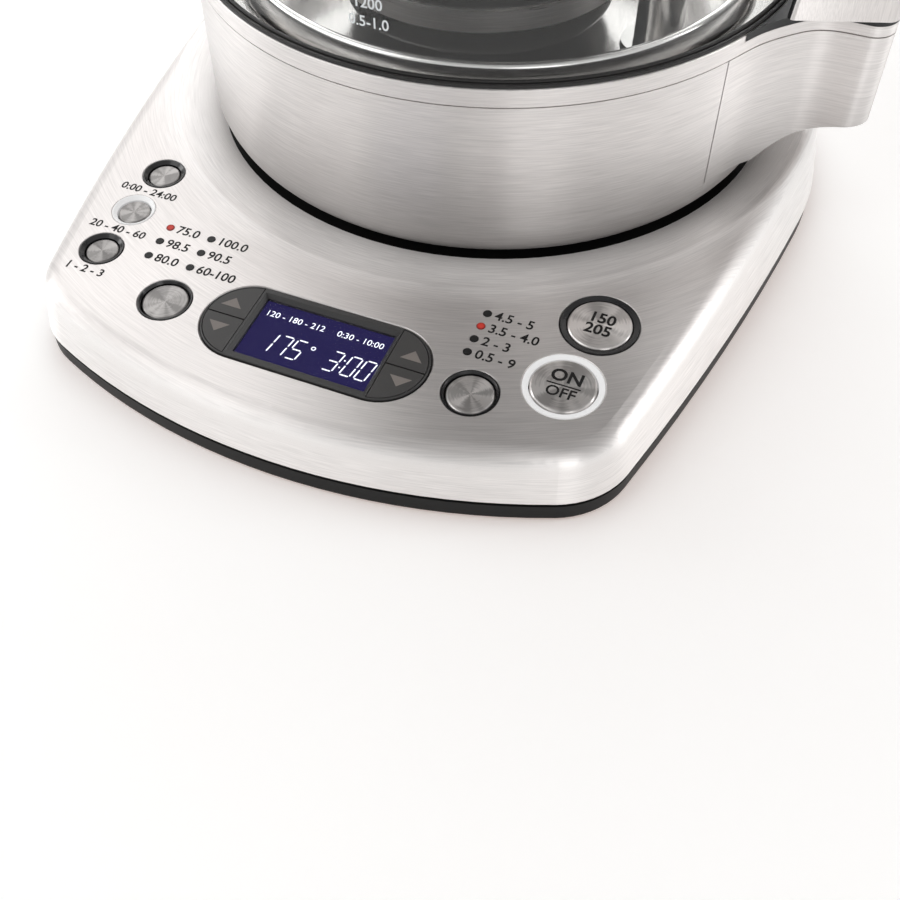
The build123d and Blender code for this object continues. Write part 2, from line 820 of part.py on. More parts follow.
# ------------------------------------------------------------------ jug: lower half
def make_band_shell():
    """Brushed steel band, turned in at its foot."""
    r, t, z = band_radius, band_thickness, band_bottom
    centre = (r - band_round, z + band_round)
    inner = r - band_round - band_turn_in
    edges = [
        Line((inner, z), (centre[0], z)),
        arc(centre, band_round, -90, 0),
        Line((r, centre[1]), (r, band_top)),
        Line((r, band_top), (r - t, band_top)),
        Line((r - t, band_top), (r - t, centre[1])),
        arc(centre, band_round - t, 0, -90),
        Line((centre[0], z + t), (inner, z + t)),
        Line((inner, z + t), (inner, z)),
    ]
    return spun(edges)


def make_base_plate():
    """Black plastic underside of the jug, with an upstand inside the band."""
    low = band_bottom - plate_thickness
    plate = disc(plate_radius, low, band_bottom)
    inner = band_radius - band_round - band_turn_in - touch_gap
    plate = plate + tube(inner, inner - socket_wall, band_bottom, band_bottom + band_thickness + plate_rim)
    return plate - disc(socket_radius() + socket_wall + touch_gap, 0, far)


def socket_radius():
    """Inside of the jug's connector."""
    return plug_radius + 3 * moving_gap


def make_jug_connector():
    """Socket that drops over the base's plug."""
    low = band_bottom - plate_thickness
    outer = socket_radius() + socket_wall
    body = disc(outer, low, low + socket_height) + disc(outer + 4, band_bottom, band_bottom + 2)
    bore = disc(socket_radius(), 0, well_floor + plug_height + contact_height + 3 * moving_gap)
    return body - bore


def make_lip_ring():
    """Steel rim over the band, with the tongue that covers the handle's foot."""
    r, t = lip_radius, lip_thickness
    ring = disc(r, band_top + seam_height, lip_top)
    ring = fillet(ring.faces().sort_by(Axis.Z)[-1].edges(), lip_edge)
    ring = ring + disc(r - seam_depth, band_top + touch_gap, lip_top - lip_edge)
    for inset, low in ((0.0, seam_height), (seam_depth, touch_gap)):
        ring = ring + Pos(0, 0, band_top + low) * extrude(foot_face(inset, r - t), amount=saddle_low - band_top - low)
    tenon = Pos(0, 0, band_top) * extrude(foot_face(tenon_inset - touch_gap, r + tenon_inset), amount=far)
    return ring - disc(r - t, 0, far) - tenon


def flank(inset):
    """The flared side of the handle's foot, from the band to the straight grip."""
    turn = math.radians(flare_angle)
    start = ((lip_radius) * math.cos(turn), lip_radius * math.sin(turn) - inset)
    return Spline(
        start,
        (lip_radius + flare_out, handle_front + flare_side - inset),
        (lip_radius + neck_out, handle_front + neck_side - inset),
        (handle_out - foot_straight, handle_front - inset),
        tangents=[(math.sin(turn), -math.cos(turn)), (1, 0)],
    )


def foot_face(inset, inner_radius):
    """Plan of the handle's foot, outside a circle about the jug's axis."""
    side = flank(inset)
    outer = handle_out - inset
    half = handle_front - inset
    corner = foot_corner - inset / 2
    start = side @ 0
    edges = [
        side,
        Line(side @ 1, (outer - corner, half)),
        ThreePointArc((outer - corner, half),
                      (outer - corner * (1 - math.sqrt(0.5)), half - corner * (1 - math.sqrt(0.5))),
                      (outer, half - corner)),
        Line((outer, half - corner), (outer, 0)),
        Line((outer, 0), (0, 0)),
        Line((0, 0), start),
    ]
    upper = make_face(edges)
    both = upper + mirror(upper, Plane.XZ)
    return both - Circle(inner_radius)


def over_arch(lift):
    """Everything over the foot's arched underside, moved up by lift."""
    points = [(band_radius + out, foot_bottom + rise + lift) for out, rise in (arch_start, arch_middle, arch_end)]
    edges = [
        ThreePointArc(*points),
        Line(points[2], (far, points[2][1])),
        Line((far, points[2][1]), (far, far)),
        Line((far, far), (0, far)),
        Line((0, far), (0, points[0][1])),
        Line((0, points[0][1]), points[0]),
    ]
    return extrude(Plane.XZ * make_face(edges), amount=far, both=True)


def make_band_foot():
    """Hollow steel foot that carries the handle."""
    outer = extrude(foot_face(0.0, band_radius + touch_gap), amount=band_top) & over_arch(0.0)
    pocket = extrude(foot_face(cover_sheet, band_radius + touch_gap + cover_sheet), amount=far)
    return outer - (pocket & over_arch(cover_sheet))


def make_lip_gasket():
    """Dark seal between the steel rim and the glass, under the glass and over the rim."""
    outer = lip_radius - lip_thickness - touch_gap
    inner = glass_radius + touch_gap
    edge = lip_radius - gasket_margin
    flat = lip_top + touch_gap
    side = tube(outer, inner, pan_rim, flat + gasket_flange / 2)
    under = tube(outer, glass_radius - glass_wall - gasket_under, pan_rim, glass_bottom)
    inner_bead = round_top(tube(outer - touch_gap, inner, flat, lip_top + gasket_proud), touch_gap * 3)
    outer_bead = round_top(tube(edge, outer + touch_gap, flat, flat + gasket_flange), touch_gap * 3)
    bridge = tube(edge - touch_gap, inner, flat, flat + gasket_flange / 2)
    return side + under + inner_bead + outer_bead + bridge


def round_top(ring, radius):
    """A ring with its top edges rounded."""
    return fillet(ring.faces().sort_by(Axis.Z)[-1].edges(), radius)


def make_heater_pan():
    """Steel pan in the bottom of the jug."""
    t = pan_thickness
    outer = glass_radius + pan_reach
    wall = pan_flat_radius + pan_round
    low = (pan_flat_radius, pan_floor + pan_round)
    edges = [
        Line((0, pan_floor), (pan_flat_radius, pan_floor)),
        arc(low, pan_round, -90, 0),
        Line((wall, low[1]), (wall, pan_rim - pan_rim_round)),
        arc((wall + pan_rim_round, pan_rim - pan_rim_round), pan_rim_round, 180, 90),
        Line((wall + pan_rim_round, pan_rim), (outer, pan_rim)),
        Line((outer, pan_rim), (outer, pan_rim - t)),
        Line((outer, pan_rim - t), (wall + pan_rim_round, pan_rim - t)),
        arc((wall + pan_rim_round, pan_rim - pan_rim_round), pan_rim_round - t, 90, 180),
        Line((wall + t, pan_rim - pan_rim_round), (wall + t, low[1])),
        arc(low, pan_round + t, 0, -90),
        Line((pan_flat_radius, pan_floor - t), (0, pan_floor - t)),
        Line((0, pan_floor - t), (0, pan_floor)),
    ]
    return spun(edges) - Pos(post_x, 0, 0) * disc(screw_core + 2 * running_gap, 0, pan_floor + 1)


def make_heating_element():
    """Tubular element under the pan."""
    z = pan_floor - pan_thickness - element_tube
    ring = revolve(Plane.XZ * (Pos(element_radius, z) * Circle(element_tube)), Axis.Z, element_turn)
    return Rot(0, 0, (360 - element_turn) / 2) * ring


# ------------------------------------------------------------------ jug: glass and top
def glass_curve(inset):
    """The glass wall's line above its shoulder."""
    return ThreePointArc((glass_radius - inset, glass_shoulder), (glass_middle_radius - inset, glass_middle),
                         (glass_top_radius - inset, glass_neck))


def make_glass_body():
    """Glass wall of the jug, open at both ends."""
    w = glass_wall
    edges = [
        Line((glass_radius - w, glass_bottom), (glass_radius, glass_bottom)),
        Line((glass_radius, glass_bottom), (glass_radius, glass_shoulder)),
        glass_curve(0.0),
        Line((glass_top_radius, glass_neck), (glass_top_radius, glass_top)),
        Line((glass_top_radius, glass_top), (glass_top_radius - w, glass_top)),
        Line((glass_top_radius - w, glass_top), (glass_top_radius - w, glass_neck)),
        glass_curve(w),
        Line((glass_radius - w, glass_shoulder), (glass_radius - w, glass_bottom)),
    ]
    glass = spun(edges)
    return fillet(glass.faces().sort_by(Axis.Z)[-1].edges(), bead_round)


def spout_cone(skin):
    """The spout's outside, or with a skin its inside."""
    reach = spout_reach - spout_axis
    height = collar_top - spout_foot
    foot = spout_tip_round / 2
    cone = Pos(-spout_axis, 0, (collar_top + spout_foot) / 2) * Cone(foot, reach, height)
    if skin:
        cone = Pos(-spout_axis, 0, (collar_top + spout_foot) / 2 + skin) * Cone(
            foot - skin, reach - skin, height)
        cone = cone + Pos(-spout_axis, 0, collar_top + skin) * Cylinder(reach - skin, 2 * skin)
    return cone


def make_collar():
    """Steel collar round the jug's mouth, with the spout."""
    outer = glass_top_radius + collar_gap + collar_sheet
    inner = outer - collar_sheet
    wall = tube(outer, inner, collar_bottom, collar_top)
    top = tube(outer, mouth_radius, collar_top - collar_sheet, collar_top)
    sleeve = tube(mouth_radius + collar_sheet, mouth_radius, collar_top - sleeve_depth, collar_top)
    spout = (spout_cone(0.0) - spout_cone(collar_sheet)) - disc(inner, 0, far)
    collar = wall + top + sleeve
    window = Pos(-outer, 0, (pour_low + pour_high) / 2) * Box(4 * collar_gap + 12, 2 * pour_half, pour_high - pour_low)
    collar = collar - window
    mouth = spout_cone(collar_sheet) - disc(inner, 0, far)
    return (collar - mouth) + spout


def make_collar_seal():
    """Soft ring between the collar and the glass."""
    outer = glass_top_radius + collar_gap - touch_gap
    side = tube(outer, glass_top_radius + touch_gap, collar_bottom + 1, glass_top + 1)
    over = tube(outer, glass_top_radius - glass_wall, glass_top + touch_gap, glass_top + 1)
    return side + over


# ------------------------------------------------------------------ handle
def column_section(z, inner, outer, half_inner, half_outer, inset):
    """One cross-section of the upright handle."""
    points = [
        (inner + inset, half_inner - inset),
        (outer - inset, half_outer - inset),
        (outer - inset, inset - half_outer),
        (inner + inset, inset - half_inner),
    ]
    face = make_face(Polyline(*points, close=True))
    inner_corners = [v for v in face.vertices() if v.X < (inner + outer) / 2]
    face = fillet(inner_corners, column_inner_corner - inset / 2)
    outer_corners = [v for v in face.vertices() if v.X > outer - inset - touch_gap]
    return Pos(0, 0, z) * fillet(outer_corners, column_corner - inset / 2)


def column(inset):
    """The handle's upright, as a loft of three sections."""
    low = lip_top + moving_gap
    top = collar_top - arm_thickness / 2
    sections = [
        column_section(low, column_in_low, handle_out, column_low_half, handle_front, inset),
        column_section(column_knee, column_in_low + 1.5, handle_out + 1, handle_front + 1, handle_front, inset),
        column_section(top, column_in, column_out, column_half, column_half, inset),
    ]
    return loft(sections[:2]) + loft(sections[1:])


def arm(inset):
    """The handle's arm, from the collar to the top of the upright."""
    start = glass_top_radius + collar_gap + collar_sheet + touch_gap
    low = collar_top - arm_thickness
    length = column_out - start + 10
    block = Pos(start - 10 + length / 2, 0, (low + collar_top) / 2) * Box(
        length, 2 * column_half, arm_thickness)
    edges = block.edges().filter_by(Axis.X) + block.edges().filter_by(Axis.Y).group_by(Axis.X)[-1]
    block = fillet(edges, arm_round)
    if inset:
        block = Pos(start - 10 + length / 2 - inset, 0, (low + collar_top) / 2) * Box(
            length, 2 * (column_half - inset), arm_thickness - 2 * inset)
    return block - disc(start, 0, far)


def inner_strip():
    """The space along the handle's inner side where the core is bare."""
    lean = math.degrees(math.atan2(column_in - column_in_low, collar_top - arm_thickness - lip_top))
    return Pos(column_in_low + core_strip, 0, lip_top) * Rot(0, lean, 0) * Pos(-far / 2, 0, 0) * Box(far, far, far)


def make_handle_core():
    """Black plastic core of the handle, with the tenon that stands in the foot."""
    inner = column(cover_sheet) + arm(cover_sheet)
    bare = (column(0.0) & inner_strip())
    tenon_top = lip_top + moving_gap
    face = foot_face(tenon_inset, lip_radius + tenon_inset)
    tenon = Pos(0, 0, tenon_top - tenon_depth) * extrude(face, amount=tenon_depth + 1)
    saddle = Pos(0, 0, saddle_low + touch_gap) * extrude(
        foot_face(0.0, lip_radius + touch_gap), amount=tenon_top - saddle_low - touch_gap)
    return inner + bare + tenon + saddle


def make_handle_cover():
    """Steel skin round the outside of the handle."""
    skin = column(0.0) + arm(0.0)
    hidden = column(cover_sheet) + arm(cover_sheet)
    return (skin - hidden) - inner_strip()


# ------------------------------------------------------------------ lift
def at_post(shape):
    """Move a shape to the post."""
    return Pos(post_x, 0, 0) * shape


def at_basket(shape):
    """Move a shape to the basket's axis."""
    return Pos(basket_x, 0, 0) * shape


def make_post_tube():
    """Steel post with a flange on the pan."""
    post = disc(post_radius, pan_floor, post_top) + disc(post_flange, pan_floor, pan_floor + post_flange_thickness)
    return at_post(post - disc(post_radius - post_wall, 0, far))


def make_post_cap():
    """Round plug in the top of the post."""
    cap = disc(post_radius, post_top, post_top + cap_height)
    cap = fillet(cap.faces().sort_by(Axis.Z)[-1].edges(), cap_height * 0.8)
    return at_post(cap + disc(post_radius - post_wall - touch_gap, post_top - cap_height, post_top))


def make_lift_motor():
    """Motor under the pan that turns the lead screw."""
    top = pan_floor - pan_thickness
    motor = disc(motor_radius, top - motor_height, top)
    motor = motor + disc(motor_radius / 2, top - motor_height - 2, top - motor_height)
    return at_post(motor - disc(screw_core + running_gap, top - motor_height / 2, far))


def make_lead_screw():
    """Rod that drives the inner magnet."""
    low = pan_floor - pan_thickness - motor_height / 2 + moving_gap
    return at_post(disc(screw_core, low, post_top - cap_height - moving_gap))


def make_magnet_nut():
    """Inner magnet, which climbs the lead screw inside the post."""
    outer = post_radius - post_wall - moving_gap
    return at_post(tube(outer, screw_core + running_gap, nut_bottom, nut_bottom + nut_height))


def make_carrier_magnet():
    """Outer magnet round the post."""
    inner = post_radius + moving_gap + carrier_wall / 2
    return at_post(tube(inner + magnet_wall, inner, nut_bottom + 1, nut_bottom + nut_height - 1))


def make_basket_carrier():
    """Sleeve on the post with the hoop that holds the basket."""
    inner = post_radius + moving_gap
    outer = inner + carrier_wall / 2 + magnet_wall + carrier_wall
    sleeve = disc(outer, nut_bottom, nut_bottom + nut_height)
    hoop_top = upper_ring_bottom - moving_gap
    hoop = disc(basket_radius + moving_gap + hoop_width, hoop_top - hoop_height, hoop_top)
    carrier = at_post(sleeve) + at_basket(hoop)
    carrier = carrier - at_basket(disc(basket_radius + moving_gap, 0, upper_ring_bottom - moving_gap + 1))
    top_cut = at_basket(disc(upper_ring_radius + moving_gap, upper_ring_bottom - moving_gap, far))
    pocket = at_post(tube(inner + carrier_wall / 2 + magnet_wall, inner + carrier_wall / 2,
                          nut_bottom + 1, nut_bottom + nut_height - 1))
    return carrier - top_cut - pocket - at_post(disc(inner, 0, far))


def make_basket_cup():
    """Perforated bottom of the basket, drawn without its holes."""
    cup = disc(cup_radius, basket_bottom, cup_top)
    cup = fillet(cup.faces().sort_by(Axis.Z)[0].edges(), cup_round)
    hollow = disc(cup_radius - strainer_wall, basket_bottom + strainer_wall, far)
    return at_basket(cup - fillet(hollow.faces().sort_by(Axis.Z)[0].edges(), cup_round - strainer_wall))


def make_basket_lower_ring():
    """Bright ring that joins the cup to the shell."""
    ring = tube(lower_ring_radius, cup_radius - strainer_wall, cup_top, cup_top + lower_ring_height)
    return at_basket(ring)


def make_basket_shell():
    """Wall of the basket, drawn without its holes."""
    low = cup_top + lower_ring_height
    return at_basket(tube(basket_radius, basket_radius - basket_wall, low, upper_ring_bottom))


def make_basket_upper_ring():
    """Rim of the basket, which hangs on the carrier's hoop."""
    return at_basket(tube(upper_ring_radius, basket_radius - 2 * basket_wall, upper_ring_bottom,
                          upper_ring_bottom + upper_ring_height))


def make_basket_lid():
    """Flat lid on the basket."""
    low = upper_ring_bottom + upper_ring_height + moving_gap
    lid = disc(upper_ring_radius - 1, low, low + basket_lid_height)
    lid = fillet(lid.faces().sort_by(Axis.Z)[-1].edges(), 1.0)
    inner = basket_radius - 2 * basket_wall - moving_gap
    return at_basket(lid + tube(inner, inner - 1.5, low - 3, low))


def make_basket_lid_knob():
    """Knob on the basket's lid."""
    low = upper_ring_bottom + upper_ring_height + moving_gap + basket_lid_height
    knob = disc(basket_knob_radius, low, low + basket_knob_height)
    return at_basket(fillet(knob.faces().sort_by(Axis.Z)[-1].edges(), 1.5))


# ------------------------------------------------------------------ jug lid
def lid_low():
    """Underside of the lid's rim."""
    return collar_top + moving_gap


def make_lid_disc():
    """Steel top of the lid, gently domed."""
    low = lid_low()
    rise = lid_dome
    bow = (lid_radius**2 + rise**2) / (2 * rise)
    outside = Pos(0, 0, low + lid_sheet + rise - bow) * Sphere(bow)
    inside = Pos(0, 0, low + rise - bow) * Sphere(bow)
    return (disc(lid_radius, low, low + far / 10) & outside) - inside


def make_lid_body():
    """Plastic plug of the lid, cut away towards the spout."""
    outer = mouth_radius - 2 * moving_gap
    low = collar_top - lid_plug_depth
    plug = tube(outer, outer - lid_plug_wall, low, lid_low())
    bow = (lid_radius**2 + lid_dome**2) / (2 * lid_dome)
    under_disc = Pos(0, 0, lid_low() + lid_dome - bow) * Sphere(bow)
    web = (disc(outer, lid_low() - lid_plug_wall, lid_low() + lid_dome) & under_disc)
    web = web - Pos(0, 0, -lid_plug_wall) * under_disc
    gap = Pos(-outer, 0, low + (pour_high - low) / 2 - 1) * Box(12, 2 * pour_half + 4, pour_high - low + 2)
    groove = tube(outer + 1, outer - seal_wall + moving_gap, low + 1, low + 1 + seal_height)
    return plug + web - gap - groove


def make_lid_seal():
    """Soft ring in the lid's groove."""
    outer = mouth_radius - moving_gap
    low = collar_top - lid_plug_depth + 1
    seal = tube(outer, mouth_radius - 2 * moving_gap - seal_wall + moving_gap, low + touch_gap,
                low + seal_height - touch_gap)
    gap = Pos(-outer, 0, low + seal_height / 2) * Box(12, 2 * pour_half + 4, 2 * seal_height)
    return seal - gap


def make_lid_knob():
    """Knob on the lid."""
    low = lid_low() + lid_dome + lid_sheet
    stem = disc(knob_stem, low - lid_sheet / 2, low + knob_stem_height)
    head = disc(knob_radius, low + knob_stem_height, low + knob_stem_height + knob_height)
    head = fillet(head.edges(), 3.0)
    bow = (lid_radius**2 + lid_dome**2) / (2 * lid_dome)
    dome = Pos(0, 0, lid_low() + lid_sheet + lid_dome - bow) * Sphere(bow)
    return (stem + head) - dome


# ------------------------------------------------------------------ all parts
def build():
    """Every sub-part by its node's name."""
    parts = {
        "foot_ring": make_foot_ring(),
        "front_feet": make_front_feet(),
        "base_tray": make_tray_with_bosses(),
        "top_cover": make_top_cover(),
        "seat_disc": make_seat_disc(),
        "base_connector": make_base_connector(),
        "contact_rings": make_contact_rings(),
        "cord_gland": make_cord_gland(),
        "dark_button_rings": make_rings((0, 2, 3, 4, 5)),
        "lit_button_rings": make_rings((1, 6)),
        "switch_frame": make_switch_frame(),
        "control_board": make_control_board(),
        "push_switches": make_switches(),
        "status_lamps": make_lamps(),
        "display_frame": make_display_frame(),
        "display_window": make_display_window(),
        "lcd_module": make_lcd_module(),
        "panel_screws": make_panel_screws(),
        "seat_screws": make_seat_screws(),
        "start_button": make_button(small_x, small_y[0], small_cap, small_proud),
        "warm_button": make_button(small_x, small_y[1], small_cap, small_proud),
        "basket_button": make_button(small_x, small_y[2], small_cap, small_proud),
        "tea_selector": make_button(-selector_x, selector_y, selector_cap, selector_proud),
        "strength_selector": make_button(selector_x, selector_y, selector_cap, selector_proud),
        "water_button": make_button(water_x, water_y, big_cap, big_proud),
        "brew_button": make_button(brew_x, brew_y, big_cap, big_proud),
        "heat_up_key": make_key(-1, 1),
        "heat_down_key": make_key(-1, -1),
        "time_up_key": make_key(1, 1),
        "time_down_key": make_key(1, -1),
        "band_shell": make_band_shell(),
        "jug_base_plate": make_base_plate(),
        "jug_connector": make_jug_connector(),
        "lip_ring": make_lip_ring(),
        "lip_gasket": make_lip_gasket(),
        "band_foot": make_band_foot(),
        "heater_pan": make_heater_pan(),
        "heating_element": make_heating_element(),
        "glass_body": make_glass_body(),
        "collar": make_collar(),
        "collar_seal": make_collar_seal(),
        "handle_core": make_handle_core(),
        "handle_cover": make_handle_cover(),
        "post_tube": make_post_tube(),
        "post_cap": make_post_cap(),
        "lift_motor": make_lift_motor(),
        "lead_screw": make_lead_screw(),
        "magnet_nut": make_magnet_nut(),
        "carrier_magnet": make_carrier_magnet(),
        "basket_carrier": make_basket_carrier(),
        "basket_cup": make_basket_cup(),
        "basket_lower_ring": make_basket_lower_ring(),
        "basket_shell": make_basket_shell(),
        "basket_upper_ring": make_basket_upper_ring(),
        "basket_lid": make_basket_lid(),
        "basket_lid_knob": make_basket_lid_knob(),
        "lid_disc": make_lid_disc(),
        "lid_body": make_lid_body(),
        "lid_seal": make_lid_seal(),
        "lid_knob": make_lid_knob(),
    }
    return parts


for node, shape in build().items():
    save(node, shape)
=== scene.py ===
"""Looks of the automatic tea maker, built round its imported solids.

A solid whose shape is right keeps its mesh and gets its finish here.  What a solid is too
plain for is built here and rides on a body: the glass, the perforated basket, the pan's
bright ring, the screws, the inlet's ribs, the printed numbers, the lit digits and the
marks on the keys.

Metres, +Z up.  The jug's axis is the Z axis and z = 0 is the worktop.  The control panel
faces -Y, the handle is at +X and the spout at -X.
"""
import json
import logging
import math
from abc import ABC, abstractmethod
from dataclasses import dataclass
from enum import Enum
from functools import cached_property
from itertools import product
from typing import Any, ClassVar, Iterable, Optional, Sequence, Union

import bmesh
import bpy
from mathutils import Matrix, Vector

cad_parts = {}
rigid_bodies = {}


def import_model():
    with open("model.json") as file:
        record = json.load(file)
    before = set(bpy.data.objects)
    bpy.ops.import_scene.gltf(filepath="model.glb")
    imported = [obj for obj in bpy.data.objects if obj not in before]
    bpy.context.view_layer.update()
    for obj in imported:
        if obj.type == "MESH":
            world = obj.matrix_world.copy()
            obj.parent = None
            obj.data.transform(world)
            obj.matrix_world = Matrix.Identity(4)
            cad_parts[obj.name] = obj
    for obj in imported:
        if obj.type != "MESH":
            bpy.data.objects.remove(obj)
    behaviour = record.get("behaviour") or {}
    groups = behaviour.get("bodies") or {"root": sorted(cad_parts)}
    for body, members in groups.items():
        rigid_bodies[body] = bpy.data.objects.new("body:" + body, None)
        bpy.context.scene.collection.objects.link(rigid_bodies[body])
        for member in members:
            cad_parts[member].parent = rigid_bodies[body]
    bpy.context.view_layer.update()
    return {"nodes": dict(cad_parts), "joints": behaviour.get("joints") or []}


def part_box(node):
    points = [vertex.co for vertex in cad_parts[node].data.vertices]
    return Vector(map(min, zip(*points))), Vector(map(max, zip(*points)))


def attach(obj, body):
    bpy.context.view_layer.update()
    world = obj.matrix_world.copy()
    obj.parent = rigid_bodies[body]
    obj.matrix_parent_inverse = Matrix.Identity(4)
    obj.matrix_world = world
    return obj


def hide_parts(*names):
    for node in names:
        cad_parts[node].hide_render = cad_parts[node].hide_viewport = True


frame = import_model()
MM = 0.001
MICRON = 0.000001
TOUCHING = 0.1 * MICRON
log = logging.getLogger("tea_maker")

Colour = tuple[float, float, float]
Place = tuple[float, float, float]
Point = tuple[float, float]
Key = Union[str, int]
WHITE: Colour = (1.0, 1.0, 1.0)
BLACK: Colour = (0.0, 0.0, 0.0)


# ---------------------------------------------------------------------- node trees
class Wire:
    """One output of a node.  Sums, products and quotients of wires add Math nodes."""

    def __init__(self, tree: "NodeTree", node: bpy.types.Node, out: Key = 0) -> None:
        """Remember the output, its node and its tree.

        Args:
            tree: the tree that it is in.
            node: its node.
            out: the output's number or name.
        """
        self.tree = tree
        self.node = node
        self.out = out

    @property
    def socket(self) -> bpy.types.NodeSocket:
        """The output's socket."""
        return self.node.outputs[self.out]

    def other(self, out: Key) -> "Wire":
        """Another output of the same node."""
        return Wire(self.tree, self.node, out)

    def __add__(self, other: "Value") -> "Wire":
        """Sum."""
        return self.tree.maths("ADD", self, other)

    def __radd__(self, other: "Value") -> "Wire":
        """Sum, the number first."""
        return self.tree.maths("ADD", other, self)

    def __sub__(self, other: "Value") -> "Wire":
        """Difference."""
        return self.tree.maths("SUBTRACT", self, other)

    def __rsub__(self, other: "Value") -> "Wire":
        """Difference, the number first."""
        return self.tree.maths("SUBTRACT", other, self)

    def __mul__(self, other: "Value") -> "Wire":
        """Product."""
        return self.tree.maths("MULTIPLY", self, other)

    def __rmul__(self, other: "Value") -> "Wire":
        """Product, the number first."""
        return self.tree.maths("MULTIPLY", other, self)

    def __truediv__(self, other: "Value") -> "Wire":
        """Quotient."""
        return self.tree.maths("DIVIDE", self, other)

    def __rtruediv__(self, other: "Value") -> "Wire":
        """Quotient, the number first."""
        return self.tree.maths("DIVIDE", other, self)

    def step(self, low: float, high: float) -> "Wire":
        """A smooth step from 0 at low to 1 at high."""
        return self.tree.node("ShaderNodeMapRange", {"interpolation_type": "SMOOTHSTEP"},
                              {"Value": self, "From Min": low, "From Max": high})

    def parts(self) -> tuple["Wire", "Wire", "Wire"]:
        """The three parts of a vector."""
        x = self.tree.node("ShaderNodeSeparateXYZ", values={0: self})
        return x, x.other(1), x.other(2)

    def vector(self, operation: str, other: Place = (0.0, 0.0, 0.0), out: Key = 0) -> "Wire":
        """A Vector Math node on the vector, and on another where the operation has two."""
        return self.tree.node("ShaderNodeVectorMath", {"operation": operation}, {0: self, 1: other}, out)

    def unit(self) -> "Wire":
        """The vector's direction, one long."""
        return self.vector("NORMALIZE")

    def length(self) -> "Wire":
        """The vector's length."""
        return self.vector("LENGTH", out="Value")

    def dot(self, other: Place) -> "Wire":
        """The vector's dot product with another."""
        return self.vector("DOT_PRODUCT", other, "Value")


Value = Union[float, Wire]


class NodeTree:
    """A tree whose nodes are all made by one method."""

    def __init__(self, tree: bpy.types.NodeTree) -> None:
        """Take over a tree and empty it."""
        self.tree = tree
        self.tree.nodes.clear()

    def node(self, kind: str, settings: Optional[dict[str, Any]] = None,
             values: Optional[dict[Key, Any]] = None, out: Key = 0) -> Wire:
        """Add one node.

        Args:
            kind: the node's type.
            settings: its own properties, which are set first.
            values: a number, a colour, a vector, a wire or a list of wires for each input.
            out: the output to give back.

        Returns:
            The chosen output.
        """
        made = self.tree.nodes.new(kind)
        for name, setting in (settings or {}).items():
            setattr(made, name, setting)
        for key, value in (values or {}).items():
            socket = made.inputs[key]
            if isinstance(value, (Wire, list)):
                for wire in value if isinstance(value, list) else [value]:
                    self.tree.links.new(wire.socket, socket)
            else:
                socket.default_value = (*value, 1.0) if socket.type == "RGBA" else value
        return Wire(self, made, out)

    def maths(self, operation: str, first: Value, second: Value = 0.0) -> Wire:
        """A Math node on one or two values."""
        return self.node("ShaderNodeMath", {"operation": operation}, {0: first, 1: second})

    def join(self, x: Value, y: Value, z: Value) -> Wire:
        """A vector of three parts."""
        return self.node("ShaderNodeCombineXYZ", values={0: x, 1: y, 2: z})


class Mixed(Enum):
    """What a Mix node blends: the data's type, both inputs' numbers and the output's."""

    COLOUR = ("RGBA", 6, 7, 2)
    VECTOR = ("VECTOR", 4, 5, 1)


class ShaderTree(NodeTree):
    """The tree of a material or of the world."""

    def __init__(self, owner: Union[bpy.types.Material, bpy.types.World]) -> None:
        """Start an empty tree in a material or in the world.

        Args:
            owner: the material or the world.
        """
        owner.use_nodes = True
        super().__init__(owner.node_tree)
        self.owner = owner

    def place(self) -> Wire:
        """The point on the object, in its own coordinates."""
        return self.node("ShaderNodeTexCoord", out="Object")

    def from_axis(self, centre: Point) -> Wire:
        """The level way to the point from an upright axis."""
        x, y, _ = self.place().parts()
        return self.join(x - centre[0], y - centre[1], 0.0)

    def noise(self, vector: Wire, scale: float = 1.0, detail: float = 2.0) -> Wire:
        """Smooth noise, mostly between 0.25 and 0.75."""
        return self.node("ShaderNodeTexNoise", values={"Vector": vector, "Scale": scale, "Detail": detail})

    def blend(self, factor: Value, first: Any, second: Any, kind: Mixed = Mixed.COLOUR) -> Wire:
        """A colour or a vector between two others."""
        data_type, first_input, second_input, out = kind.value
        return self.node("ShaderNodeMix", {"data_type": data_type},
                         {0: factor, first_input: first, second_input: second}, out)

    def bump(self, height: Wire, distance: float) -> Wire:
        """A normal from a height, whose full range stands for a distance in metres."""
        return self.node("ShaderNodeBump", values={"Height": height, "Distance": distance, "Strength": 1.0})

    def seen(self) -> Wire:
        """1 for rays of the camera, of a mirror image or through glass, and 0 for others.

        Returns:
            The wire of that mask.
        """
        rays = self.node("ShaderNodeLightPath")
        kinds = ("Is Camera Ray", "Is Glossy Ray", "Is Transmission Ray")
        camera, glossy, through = (rays.other(kind) for kind in kinds)
        return self.maths("MINIMUM", camera + glossy + through, 1.0)

    def surface(self, shader: Wire) -> None:
        """Link a shader to the output of the material or of the world."""
        kind = "World" if isinstance(self.owner, bpy.types.World) else "Material"
        self.node("ShaderNodeOutput" + kind, values={"Surface": shader})


